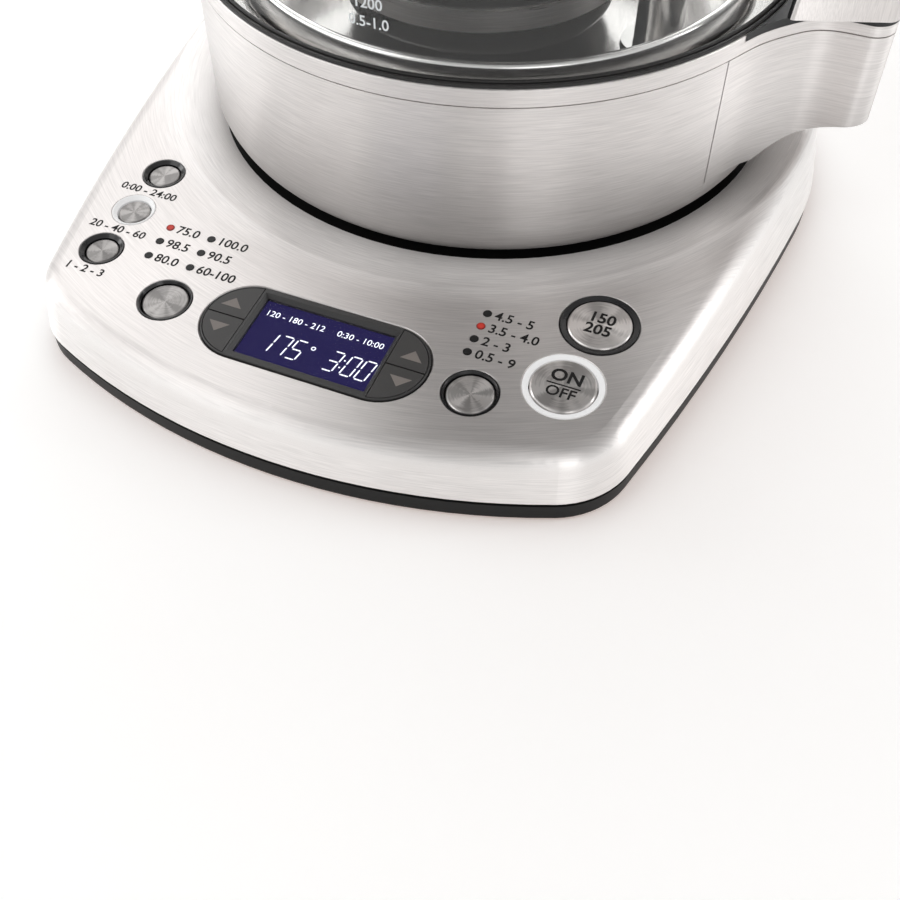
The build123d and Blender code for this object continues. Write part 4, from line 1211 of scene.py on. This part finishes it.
def cluster(points: Sequence[Point], reach: float) -> list[list[Point]]:
    """Groups of points that lie within reach of the group's first point.

    Args:
        points: the points.
        reach: the distance that still joins two points.

    Returns:
        The groups.
    """
    groups: list[list[Point]] = []
    for point in points:
        near = [g for g in groups if math.dist(g[0], point) < reach]
        if near:
            near[0].append(point)
        else:
            groups.append([point])
    return groups


# ---------------------------------------------------------------------- control panel
@dataclass(frozen=True)
class LampGroup:
    """Lamps in upright columns, with a number beside each.

    Attributes:
        columns: x of each column, in metres.
        rows: y of each row, in metres.
        numbers: what stands beside the lamps, one column after the other.
        lit: which lamp is lit, counted in the same order.
    """

    columns: Sequence[float]
    rows: Sequence[float]
    numbers: Sequence[str]
    lit: int

    def centres(self) -> list[Point]:
        """The lamps' centres, in the order of the numbers."""
        return list(product(self.columns, self.rows))


TEA_LAMPS = LampGroup((-53.2 * MM, -40.9 * MM), (-97.6 * MM, -103.0 * MM, -108.6 * MM),
                      ("75.0", "98.5", "80.0", "100.0", "90.5", "60-100"), 0)
STRENGTH_LAMPS = LampGroup((35.7 * MM,), (-96.2 * MM, -100.6 * MM, -105.0 * MM, -109.4 * MM),
                           ("4.5 - 5", "3.5 - 4.0", "2 - 3", "0.5 - 9"), 1)


@dataclass(frozen=True)
class CapLine:
    """One printed line on a cap.  Lengths are in metres.

    Attributes:
        body: what is printed.
        size: letter size.
        rise: from the cap's centre up to the line's middle.
        bold: how far the strokes are widened.
    """

    body: str
    size: float
    rise: float
    bold: float


@dataclass
class ControlPanel:
    """Buttons, rings, lamps and print.  Lengths are in metres.

    Attributes:
        ink_height: thickness of the print.
        lamp_text: letter size beside the lamps.
        button_text: letter size under the small buttons.
        beside: from a lamp's centre to its number.
        under: from a small button's centre down to its number.
        label_bold: how far the strokes on the panel are widened.
        rule: half the length and half the width of the line between the words on a cap.
        painted_shade_cap: colour of the caps on the left, painted darker as painted shade.
        bright_cap: colour of the brighter caps.
    """

    ink_height: float = 0.02 * MM
    lamp_text: float = 3.9 * MM
    button_text: float = 3.5 * MM
    beside: float = 2.0 * MM
    under: float = 7.9 * MM
    label_bold: float = 0.07 * MM
    rule: Point = (4.2 * MM, 0.2 * MM)
    painted_shade_cap: Colour = (0.3, 0.288, 0.28)
    bright_cap: Colour = (0.6, 0.575, 0.56)

    button_numbers: ClassVar[dict[str, str]] = {
        "start_button": "0:00 - 24:00", "warm_button": "20 - 40 - 60", "basket_button": "1 - 2 - 3",
    }
    amounts: ClassVar[Sequence[CapLine]] = (
        CapLine("150", 4.5 * MM, 1.9 * MM, 0.12 * MM), CapLine("205", 4.5 * MM, -1.9 * MM, 0.12 * MM),
    )
    words: ClassVar[Sequence[CapLine]] = (
        CapLine("ON", 5.0 * MM, 2.6 * MM, 0.14 * MM), CapLine("OFF", 4.2 * MM, -2.3 * MM, 0.07 * MM),
    )

    def build(self) -> None:
        """Dress the panel's nodes and add its print."""
        lit = [group.centres()[group.lit] for group in (TEA_LAMPS, STRENGTH_LAMPS)]
        dress(Moulded("ring_plastic", (0.012, 0.012, 0.013), roughness=0.22, grain=0.3 * MM,
                      depth=4 * MICRON, coat=0.3),
              "dark_button_rings")
        dress(Glowing("lit_ring", (0.7, 0.7, 0.7), WHITE, strength=0.3), "lit_button_rings")
        dress(Lenses("lamp_lenses", lit), "status_lamps")
        dress(Moulded("board_green", (0.03, 0.16, 0.07), roughness=0.4, grain=1.0 * MM, depth=20 * MICRON,
                      coat=0.3),
              "control_board")
        dress(Moulded("switch_black", (0.03, 0.03, 0.03), roughness=0.5), "switch_frame", "push_switches")
        # Painted shade: the caps on the left are painted darker than the others.
        self.caps(self.painted_shade_cap, "start_button", "warm_button", "basket_button", "tea_selector")
        self.caps(self.bright_cap, "strength_selector", "water_button", "brew_button")
        ink = Moulded("panel_ink", (0.012, 0.011, 0.011), roughness=0.6, grain=0.2 * MM, depth=2 * MICRON,
                      shine=0.2).material()
        amounts = self.cap_lines("water_button", self.amounts)
        words = self.cap_lines("brew_button", self.words) + [self.cap_rule("brew_button")]
        self.keep_print("panel_print", "base", self.labels(), ink)
        self.keep_print("water_button_print", "water_button_body", amounts, ink)
        self.keep_print("brew_button_print", "brew_button_body", words, ink)

    def caps(self, colour: Colour, *nodes: str) -> None:
        """Spin the grain of each cap about its own centre.

        Args:
            colour: the caps' colour.
            nodes: their nodes.
        """
        for node in nodes:
            x, y, _ = cap_top(node)
            # Painted sheen: each cap gets lighter and darker wedges round its centre.
            steel = Steel(node + "_steel", Grain.SPUN, colour, roughness=0.3, stretch=0.92,
                          scratch=0.4 * MM, contrast=0.25, depth=1.5 * MICRON, centre=(x, y),
                          ring_radius=12.0 * MM, painted_sheen_sectors=5.5)
            dress(steel, node)

    def keep_print(self, name: str, body: str, lines: list[bmesh.types.BMesh],
                   ink: bpy.types.Material) -> None:
        """Keep printed lines as one layer that rides on a body."""
        keep(make_piece(name, merged(lines), ink), body, "black_plastic")

    def labels(self) -> list[bmesh.types.BMesh]:
        """The numbers on the panel.

        Returns:
            The meshes of the lines.
        """
        lines = [text(number, self.lamp_text, self.ink_height, PANEL.matrix(x + self.beside, y),
                      self.label_bold, Align.START)
                 for group in (TEA_LAMPS, STRENGTH_LAMPS)
                 for (x, y), number in zip(group.centres(), group.numbers)]
        for node, number in self.button_numbers.items():
            x, y, _ = cap_top(node)
            place = PANEL.matrix(x, y - self.under)
            lines.append(text(number, self.button_text, self.ink_height, place, self.label_bold))
        return lines

    def cap_lines(self, node: str, lines: Sequence[CapLine]) -> list[bmesh.types.BMesh]:
        """The lines on a cap."""
        x, y, lift = cap_top(node)
        return [text(line.body, line.size, self.ink_height, PANEL.matrix(x, y + line.rise, lift), line.bold)
                for line in lines]

    def cap_rule(self, node: str) -> bmesh.types.BMesh:
        """A straight line across the middle of a cap."""
        return prism(plate(*self.rule), self.ink_height, PANEL.matrix(*cap_top(node)))


# ---------------------------------------------------------------------- display
@dataclass
class Display:
    """Bezel, window, lit digits and the four keys.  Lengths are in metres.

    Attributes:
        y: of the display's middle line.
        film: thickness of the lit shapes.
        film_gap: between the liquid crystal panel and them.
        digit: width and height of a large digit.
        foot: where the large digits stand, from the middle line.
        stroke: width of a lit segment.
        corner_gap: the least gap between a digit's corner and a segment.
        tip_overlap: what is added to it, as a share of a segment's pointed tip.
        slant: how far a digit leans over its height.
        colon_x: where the colon's foot is.
        colon_rise: heights of its dots, as shares of a digit's.
        dot_share: width of a dot, as a share of a stroke.
        degree_x: where the degree ring is.
        degree_rise: its height, as a share of a digit's.
        degree_ring: the ring's inner and outer radius.
        caption_text: letter size over the digits.
        caption_rise: their middle, from the middle line.
        mark: width and height of a key's triangle.
        mark_place: its place from the display's middle, sideways and along the panel.
        mark_lift: how high it stands above the panel's plane.
        mark_height: its thickness.
    """

    y: float = -119.8 * MM
    film: float = 0.015 * MM
    film_gap: float = 0.02 * MM
    digit: Point = (2.7 * MM, 6.2 * MM)
    foot: float = -5.9 * MM
    stroke: float = 0.36 * MM
    corner_gap: float = 0.12 * MM
    tip_overlap: float = 0.4
    slant: float = 0.16
    colon_x: float = 8.3 * MM
    colon_rise: Point = (0.3, 0.68)
    dot_share: float = 1.1
    degree_x: float = 0.2 * MM
    degree_rise: float = 0.8
    degree_ring: Point = (0.36 * MM, 0.62 * MM)
    caption_text: float = 2.6 * MM
    caption_rise: float = 5.6 * MM
    mark: Point = (5.6 * MM, 3.0 * MM)
    mark_place: Point = (24.3 * MM, 4.3 * MM)
    mark_lift: float = 0.3 * MM
    mark_height: float = 0.02 * MM

    figures: ClassVar[dict[float, str]] = {
        -13.0 * MM: "1", -9.15 * MM: "7", -5.3 * MM: "5", 4.6 * MM: "3", 9.3 * MM: "0", 13.1 * MM: "0",
    }
    captions: ClassVar[dict[float, str]] = {-16.2 * MM: "120 - 180 - 212", 3.4 * MM: "0:30 - 10:00"}
    segments: ClassVar[dict[str, str]] = {"0": "abcdef", "1": "bc", "3": "abcdg", "5": "acdfg", "7": "abc"}
    ends: ClassVar[dict[str, tuple[Point, Point]]] = {
        "a": ((0, 1), (1, 1)), "b": ((1, 1), (1, 0.5)), "c": ((1, 0.5), (1, 0)), "d": ((0, 0), (1, 0)),
        "e": ((0, 0.5), (0, 0)), "f": ((0, 1), (0, 0.5)), "g": ((0, 0.5), (1, 0.5)),
    }

    def build(self) -> None:
        """Dress the display's nodes and add its digits and marks."""
        dress(Moulded("bezel_plastic", (0.04, 0.039, 0.039), roughness=0.4, grain=0.3 * MM,
                      depth=4 * MICRON),
              "display_frame")
        dress(Moulded("key_plastic", (0.052, 0.05, 0.049), grain=0.3 * MM, depth=6 * MICRON),
              "heat_up_key", "heat_down_key", "time_up_key", "time_down_key")
        dress(Glowing("lcd_blue", (0.004, 0.004, 0.008), (0.021, 0.017, 0.078), strength=1.0, roughness=0.8,
                      shine=0.0),
              "lcd_module")
        dress(Clear("display_window_clear", 1.05, (0.98, 0.98, 1.0)), "display_window")
        frame["nodes"]["display_window"].visible_shadow = False
        self.lit_numbers()
        self.key_marks()

    @cached_property
    def lit_lift(self) -> float:
        """How high the lit shapes stand above the panel's plane."""
        return cap_top("lcd_module")[2] + self.film_gap

    def lit(self, outline: Sequence[Point], x: float, y: float) -> bmesh.types.BMesh:
        """One lit shape, with its own middle or corner at x and y."""
        return prism(outline, self.film, PANEL.matrix(x, y, self.lit_lift))

    def lit_numbers(self) -> None:
        """The lit numbers: heat on the left and time on the right, with a caption over each."""
        foot, height = self.y + self.foot, self.digit[1]
        shapes = [shape for x, figure in self.figures.items() for shape in self.figure(figure, x, foot)]
        half = self.stroke * self.dot_share / 2
        for rise in (height * share for share in self.colon_rise):
            shapes.append(self.lit(plate(half, half, self.slant * rise), self.colon_x, foot + rise))
        shapes.append(self.degree(self.degree_x, foot + height * self.degree_rise))
        shapes += [text(body, self.caption_text, self.film,
                        PANEL.matrix(x, self.y + self.caption_rise, self.lit_lift), align=Align.START)
                   for x, body in self.captions.items()]
        white = Glowing("lit_digits", (0.6, 0.62, 0.65), (0.86, 0.88, 0.97), strength=1.0).material()
        keep(make_piece("lcd_digits", merged(shapes), white), "base", "lcd")

    def figure(self, figure: str, x: float, y: float) -> list[bmesh.types.BMesh]:
        """The lit segments of one digit whose lower left corner is at x and y.

        Args:
            figure: the digit.
            x: of its corner.
            y: of its corner.

        Returns:
            The segments' meshes.
        """
        width, height = self.digit
        tip = self.stroke / 2
        inset = self.corner_gap + tip * self.tip_overlap
        made = []
        for name in self.segments[figure]:
            start, end = (Vector((across * width, up * height)) for across, up in self.ends[name])
            way = (end - start).normalized()
            first, last = start + way * inset, end - way * inset
            along, side = way * tip, Vector((-way.y, way.x)) * tip
            outline = [first, first + along + side, last - along + side,
                       last, last - along - side, first + along - side]
            made.append(self.lit([(p.x + self.slant * p.y, p.y) for p in outline], x, y))
        return made

    def degree(self, x: float, y: float) -> bmesh.types.BMesh:
        """A small ring for degrees.

        Args:
            x: of its middle.
            y: of its middle.

        Returns:
            The closed mesh.
        """
        inner, outer = self.degree_ring
        work = lathe([(inner, 0.0), (outer, 0.0), (outer, self.film), (inner, self.film)], 20)
        work.transform(PANEL.matrix(x, y, self.lit_lift))
        return work

    def key_marks(self) -> None:
        """A triangle on each key, up or down."""
        tan = Moulded("key_mark", (0.21, 0.185, 0.17), roughness=0.5, grain=0.4 * MM,
                      depth=3 * MICRON).material()
        half, half_height = self.mark[0] / 2, self.mark[1] / 2
        for (side, name), (way, turn) in product(((-1, "heat"), (1, "time")), ((1, "up"), (-1, "down"))):
            outline = [(-half, -way * half_height), (half, -way * half_height), (0.0, way * half_height)]
            x, y = side * self.mark_place[0], self.y + way * self.mark_place[1]
            place = PANEL.matrix(x, y, self.mark_lift)
            made = make_piece(f"{name}_{turn}_key_mark", prism(outline, self.mark_height, place), tan)
            keep(made, f"{name}_{turn}_key_body", "bezel_plastic")


# ---------------------------------------------------------------------- jug
@dataclass
class Jug:
    """Steel band, rim, seal, pan, glass, collar and handle.  Lengths are in metres.

    Attributes:
        wall: thickness of the glass.
        glass_steps: faces of the glass in one turn.
        bend_steps: faces up its curve.
        shoulder: height of its upright foot.
        waist: a point of the curve above: how far in from the foot, and how high above it.
        neck_in: how far the neck stands in from the foot.
        neck_height: of the upright neck.
        bead: radius of the rounded foot of the glass.
        ledge: from the pan's outer edge in to its bright ring.
        roll: radius of the rolled top of the pan's ring.
        ring_rise: how far the ring stands above the pan's outer edge.
        ring_drop: how far it reaches below that edge.
        ring_sheet: thickness of its sheet.
        ring_steps: its faces in one turn.
        mark_text: letter size of the numbers on the glass.
        mark_turn: where they are, in degrees from the front towards the handle.
        mark_rise: their middle, above the foot of the glass.
        mark_line: from their middle to either line.
        mark_film: thickness of their ink.
        mark_gap: between the glass and them.
        painted_shade_rise: heights between which the painted shade on the band's foot fades out.
    """

    wall: float = 2.8 * MM
    glass_steps: int = 256
    bend_steps: int = 40
    shoulder: float = 8.8 * MM
    waist: Point = (6.5 * MM, 66.8 * MM)
    neck_in: float = 18.0 * MM
    neck_height: float = 11.0 * MM
    bead: float = 1.35 * MM
    ledge: float = 9.8 * MM
    roll: float = 1.2 * MM
    ring_rise: float = 4.2 * MM
    ring_drop: float = 4.5 * MM
    ring_sheet: float = 0.6 * MM
    ring_steps: int = 192
    mark_text: float = 3.6 * MM
    mark_turn: float = -0.5
    mark_rise: float = 17.8 * MM
    mark_line: float = 2.232 * MM
    mark_film: float = 0.03 * MM
    mark_gap: float = 0.01 * MM
    painted_shade_rise: Point = (20.0 * MM, 60.0 * MM)

    def build(self) -> None:
        """Dress the jug's nodes and build its glass."""
        # Painted shade: the band is darker towards its foot.
        dress(Steel("band_steel", Grain.AROUND, (0.78, 0.75, 0.735), painted_shade_foot=self.painted_shade_rise),
              "band_shell", "band_foot", "lip_ring")
        dress(Moulded("seal_silicone", (0.03, 0.0285, 0.028), grain=0.6 * MM, depth=6 * MICRON, shine=0.3),
              "lip_gasket", "collar_seal")
        dress(Moulded("jug_plastic", (0.02, 0.02, 0.021), roughness=0.42),
              "jug_base_plate", "jug_connector", "handle_core")
        dress(Steel("handle_steel", Grain.UPRIGHT, roughness=0.32, stretch=0.4), "handle_cover")
        dress(Steel("pan_steel", Grain.SPUN, (0.5, 0.485, 0.475), roughness=0.2, stretch=0.4,
                    ring_radius=60.0 * MM),
              "heater_pan")
        dress(Steel("plain_steel", Grain.AROUND, (0.55, 0.55, 0.55), roughness=0.32, stretch=0.3),
              "heating_element")
        dress(Steel("rim_steel", Grain.AROUND, (0.7, 0.685, 0.67), roughness=0.24, stretch=0.5), "collar")
        self.glass()
        self.glass_print()
        self.pan_edge()

    def glass(self) -> None:
        """The glass wall: upright at its foot, drawn in to a narrower neck."""
        _, outer, foot, top = round_box("glass_body")
        neck = outer - self.neck_in
        waist = (outer - self.waist[0], foot + self.waist[1])
        shoulder, throat = (outer, foot + self.shoulder), (neck, top - self.neck_height)
        outside = bend(shoulder, waist, throat, self.bend_steps)
        inside = [(r - self.wall, z) for r, z in outside]
        toe = arc((outer - self.bead, foot + self.bead), self.bead, -90, 0)
        heel = arc((outer - self.wall + self.bead, foot + self.bead), self.bead, 180, 270)
        lip = arc((neck - self.wall / 2, top - self.wall / 2), self.wall / 2, 0, 180, 12)
        profile = toe + outside + lip + inside[::-1] + heel
        clear = Clear("carafe_glass", 1.36, (0.985, 0.995, 0.99)).material()
        made = make_piece("glass_wall", lathe(profile, self.glass_steps), clear, 60.0)
        made.visible_shadow = False
        keep(made, "jug", "carafe_glass", "glass_body")

    def glass_print(self) -> None:
        """Two lines of plain white numbers on the glass, beside the basket."""
        _, outer, foot, _ = round_box("glass_body")
        radius = outer + self.mark_gap
        lines = (("1200", self.mark_line, 0.05 * MM), ("0.5-1.0", -self.mark_line, 0.04 * MM))
        flat = merged(
            text(body, self.mark_text, self.mark_film, Matrix.Translation((0.0, rise, 0.0)), bold)
            for body, rise, bold in lines
        )
        for vertex in flat.verts:
            turn = math.radians(self.mark_turn) + vertex.co.x / radius
            out = radius + vertex.co.z
            height = foot + self.mark_rise + vertex.co.y
            vertex.co = Vector((out * math.sin(turn), -out * math.cos(turn), height))
        bmesh.ops.recalc_face_normals(flat, faces=flat.faces)
        white = Moulded("glass_ink", (0.9, 0.9, 0.9), roughness=0.5, grain=0.3 * MM, depth=1 * MICRON)
        keep(make_piece("glass_print", flat, white.material()), "jug", "carafe_glass")

    def pan_edge(self) -> None:
        """A bright ring with a rolled top, which lines the pan's mouth."""
        _, pan, _, edge = round_box("heater_pan")
        outer = pan - self.ledge
        inner = outer - self.ring_sheet
        top, foot = edge + self.ring_rise, edge - self.ring_drop
        rolled = arc((outer - self.roll, top - self.roll), self.roll, 0, 270, 20)
        profile = [(inner, foot), (outer, foot), *rolled, (inner, top - 2 * self.roll)]
        bright = Steel("pan_ring_steel", Grain.AROUND, (0.8, 0.78, 0.77), roughness=0.22, stretch=0.3)
        made = make_piece("pan_edge", lathe(profile, self.ring_steps), bright.material(), 60.0)
        keep(made, "jug", "plain_steel")


# ---------------------------------------------------------------------- lift and basket
@dataclass
class TeaBasket:
    """The post with its drive, the carrier and the perforated basket.  Lengths are in metres.

    Attributes:
        hole: radius of a hole.
        hole_length: of the cutter that makes it.
        pitch: between rows of holes.
        columns: holes in one turn.
        steps: faces of a sheet in one turn.
        sheet: thickness of the sheets.
        margin: from the wall's foot and top to the nearest rows.
        cup_bend: radius of the cup's lower edge.
        cup_margin: from that bend up to the cup's lowest row.
        cup_rows: rows of holes in the cup.
    """

    hole: float = 0.28 * MM
    hole_length: float = 3.0 * MM
    pitch: float = 2.3 * MM
    columns: int = 96
    steps: int = 180
    sheet: float = 0.6 * MM
    margin: float = 3.0 * MM
    cup_bend: float = 3.0 * MM
    cup_margin: float = 0.8 * MM
    cup_rows: int = 3

    def build(self) -> None:
        """Dress the nodes and build the two perforated sheets."""
        dress(Steel("polished_steel", Grain.AROUND, (0.42, 0.41, 0.4), roughness=0.14, stretch=0.3),
              "post_tube", "post_cap", "basket_lid")
        dress(Steel("motor_can", Grain.AROUND, (0.34, 0.34, 0.35), stretch=0.2), "lift_motor")
        dress(Steel("screw_rod_steel", Grain.AROUND, (0.5, 0.5, 0.5), roughness=0.35, stretch=0.2),
              "lead_screw")
        dress(Steel("magnet_plate", Grain.AROUND, (0.2, 0.2, 0.21), roughness=0.35, stretch=0.1),
              "magnet_nut", "carrier_magnet")
        dress(Moulded("carrier_plastic", (0.022, 0.022, 0.022), roughness=0.4),
              "basket_carrier", "basket_lid_knob")
        dress(Steel("basket_ring_steel", Grain.AROUND, (0.55, 0.53, 0.52), roughness=0.3, stretch=0.6),
              "basket_lower_ring", "basket_upper_ring")
        dark = Steel("basket_steel", Grain.AROUND, (0.09, 0.087, 0.084), roughness=0.25,
                     stretch=0.4).material()
        self.wall(dark)
        self.cup(dark)

    def wall(self, material: bpy.types.Material) -> None:
        """The basket's perforated wall.

        Args:
            material: its material.
        """
        _, outer, foot, top = round_box("basket_shell")
        inner = outer - self.sheet
        profile = [(inner, foot), (outer, foot), (outer, top), (inner, top)]
        rows = int((top - foot - 2 * self.margin) / self.pitch)
        self.perforate("basket_wall", "basket_shell", profile, foot + self.margin, rows, material)

    def cup(self, material: bpy.types.Material) -> None:
        """The basket's perforated cup.

        Args:
            material: its material.
        """
        _, outer, foot, top = round_box("basket_cup")
        axis = (outer - self.cup_bend, foot + self.cup_bend)
        profile = [(0.0, foot), *arc(axis, self.cup_bend, -90, 0), (outer, top), (outer - self.sheet, top),
                   *arc(axis, self.cup_bend - self.sheet, 0, -90), (0.0, foot + self.sheet)]
        self.perforate("basket_strainer", "basket_cup", profile, foot + self.cup_bend + self.cup_margin,
                       self.cup_rows, material)

    def perforate(self, name: str, node: str, profile: Sequence[Point], lowest: float, rows: int,
                  material: bpy.types.Material) -> None:
        """Turn a sheet and cut its holes.

        Args:
            name: the piece's name.
            node: the plain node that it replaces.
            profile: section of the sheet.
            lowest: height of the lowest row of holes.
            rows: how many rows it has.
            material: its material.
        """
        centre, outer, _, _ = round_box(node)
        sizes = {"Radius": outer - self.sheet / 2, "Lowest row": lowest, "Row pitch": self.pitch,
                 "Rows": rows, "Columns": self.columns, "Hole radius": self.hole,
                 "Hole length": self.hole_length, "Centre x": centre}
        made = perforation_tree().run(name, lathe(profile, self.steps, (centre, 0.0)), sizes, material)
        keep(made, "basket", "plain_steel", node)


@dataclass
class JugLid:
    """Lid with its plug, seal and knob."""

    def build(self) -> None:
        """Dress the lid's nodes."""
        dress(Steel("lid_steel", Grain.SPUN, (0.66, 0.65, 0.635), roughness=0.26, stretch=0.7), "lid_disc")
        dress(Moulded("lid_plastic", (0.024, 0.024, 0.026), roughness=0.4), "lid_body", "lid_knob")
        dress(Moulded("lid_silicone", (0.05, 0.05, 0.052), roughness=0.5, grain=0.6 * MM, depth=6 * MICRON),
              "lid_seal")


# ---------------------------------------------------------------------- studio
@dataclass(frozen=True)
class SoftLamp:
    """A soft lamp that faces the object.

    Attributes:
        name: the lamp's name.
        place: of its centre, in metres.
        size: its width and height, in metres.
        power: in watts.
        aim: the point that it faces.
    """

    name: str
    place: Place
    size: Point
    power: float
    aim: Place = (0.0, -0.03, 0.05)

    def hang(self) -> None:
        """Put the lamp into the scene."""
        light = bpy.data.lights.new(self.name, "AREA")
        light.shape = "RECTANGLE"
        light.size, light.size_y = self.size
        light.energy = self.power
        holder = put(self.name, light)
        holder.location = self.place
        way = Vector(self.aim) - Vector(self.place)
        holder.rotation_euler = way.to_track_quat("-Z", "Y").to_euler()


@dataclass(frozen=True)
class Shade:
    """A part of the room that is darker in mirror images.

    Attributes:
        edge: cosine of the angle from its middle at which it begins.
        core: cosine of the angle at which it is darkest.
        share: of the light that it takes there.
    """

    edge: float
    core: float
    share: float

    def taken(self, cosine: Wire) -> Wire:
        """The share of the light that it takes."""
        return cosine.step(self.edge, self.core) * self.share


@dataclass
class Studio:
    """Floor, light and camera.

    Attributes:
        floor_side: of the floor, in metres.
        lamps: the soft lamps.
        fill: strength of the even light on the object.
        overhead: the darker ceiling.
        front: the darker part of the room in front of the object.
        front_way: the way to its middle.
        place: of the camera.
        turn: of the camera, in degrees.
        lens: of the camera, in millimetres.
    """

    floor_side: float = 14.0
    lamps: tuple[SoftLamp, ...] = (
        SoftLamp("key_light", (-0.76, -0.64, 1.0), (1.0, 1.0), 3.7),
        SoftLamp("back_light", (-0.4, 1.2, 1.05), (1.6, 1.6), 11.5),
        SoftLamp("left_light", (-1.19, -0.15, 0.45), (0.45, 0.8), 2.7),
        SoftLamp("front_light", (0.72, -0.96, 0.45), (0.5, 0.8), 1.8),
        SoftLamp("side_light", (1.1, 0.44, 0.45), (0.3, 0.8), 2.4),
    )
    fill: float = 0.47
    overhead: Shade = Shade(0.1, 0.95, 0.5)
    front: Shade = Shade(0.75, 1.0, 0.45)
    front_way: Place = (0.342, -0.94, 0.0)
    place: Place = (0.10618, -0.28978, 0.21687)
    turn: Place = (39.9065, 0.0, 22.5607)
    lens: float = 45.956

    def build(self) -> None:
        """Make the floor, the light and the camera."""
        self.floor()
        self.world()
        for lamp in self.lamps:
            lamp.hang()
        self.camera()
        bpy.context.scene.view_settings.view_transform = "Standard"

    def floor(self) -> None:
        """A pale floor that keeps the object's shadow."""
        work = bmesh.new()
        half = self.floor_side / 2
        work.faces.new([work.verts.new((x, y, 0.0)) for x, y in plate(half, half)])
        make_piece("floor", work, Paper("floor_paper").material())

    def world(self) -> None:
        """A white background, and even soft light on the object."""
        world = bpy.data.worlds.new("studio")
        bpy.context.scene.world = world
        tree = ShaderTree(world)
        way = tree.node("ShaderNodeTexCoord", out="Generated")
        _, _, up = way.parts()
        shade = self.overhead.taken(up) + self.front.taken(way.dot(self.front_way))
        glossy = tree.node("ShaderNodeLightPath", out="Is Glossy Ray")
        soft, white = (tree.node("ShaderNodeBackground", values={"Color": WHITE, "Strength": strength})
                       for strength in (self.fill, 1.0 - shade * glossy))
        tree.surface(tree.node("ShaderNodeMixShader", values={0: tree.seen(), 1: soft, 2: white}))

    def camera(self) -> None:
        """The camera, in front of the panel and above it."""
        data = bpy.data.cameras.new("camera")
        data.lens = self.lens
        data.sensor_width = 36.0
        data.sensor_fit = "HORIZONTAL"
        data.clip_start = 0.01
        holder = put("camera", data)
        holder.location = self.place
        holder.rotation_euler = [math.radians(a) for a in self.turn]
        bpy.context.scene.camera = holder


def main() -> None:
    """Build every part of the object in order, then the studio."""
    logging.basicConfig(level=logging.INFO, format="%(message)s")
    for part in (PowerBase(), ControlPanel(), Display(), Jug(), TeaBasket(), JugLid(), Studio()):
        log.info("building %s", type(part).__name__)
        part.build()


if __name__ == "__main__":
    main()
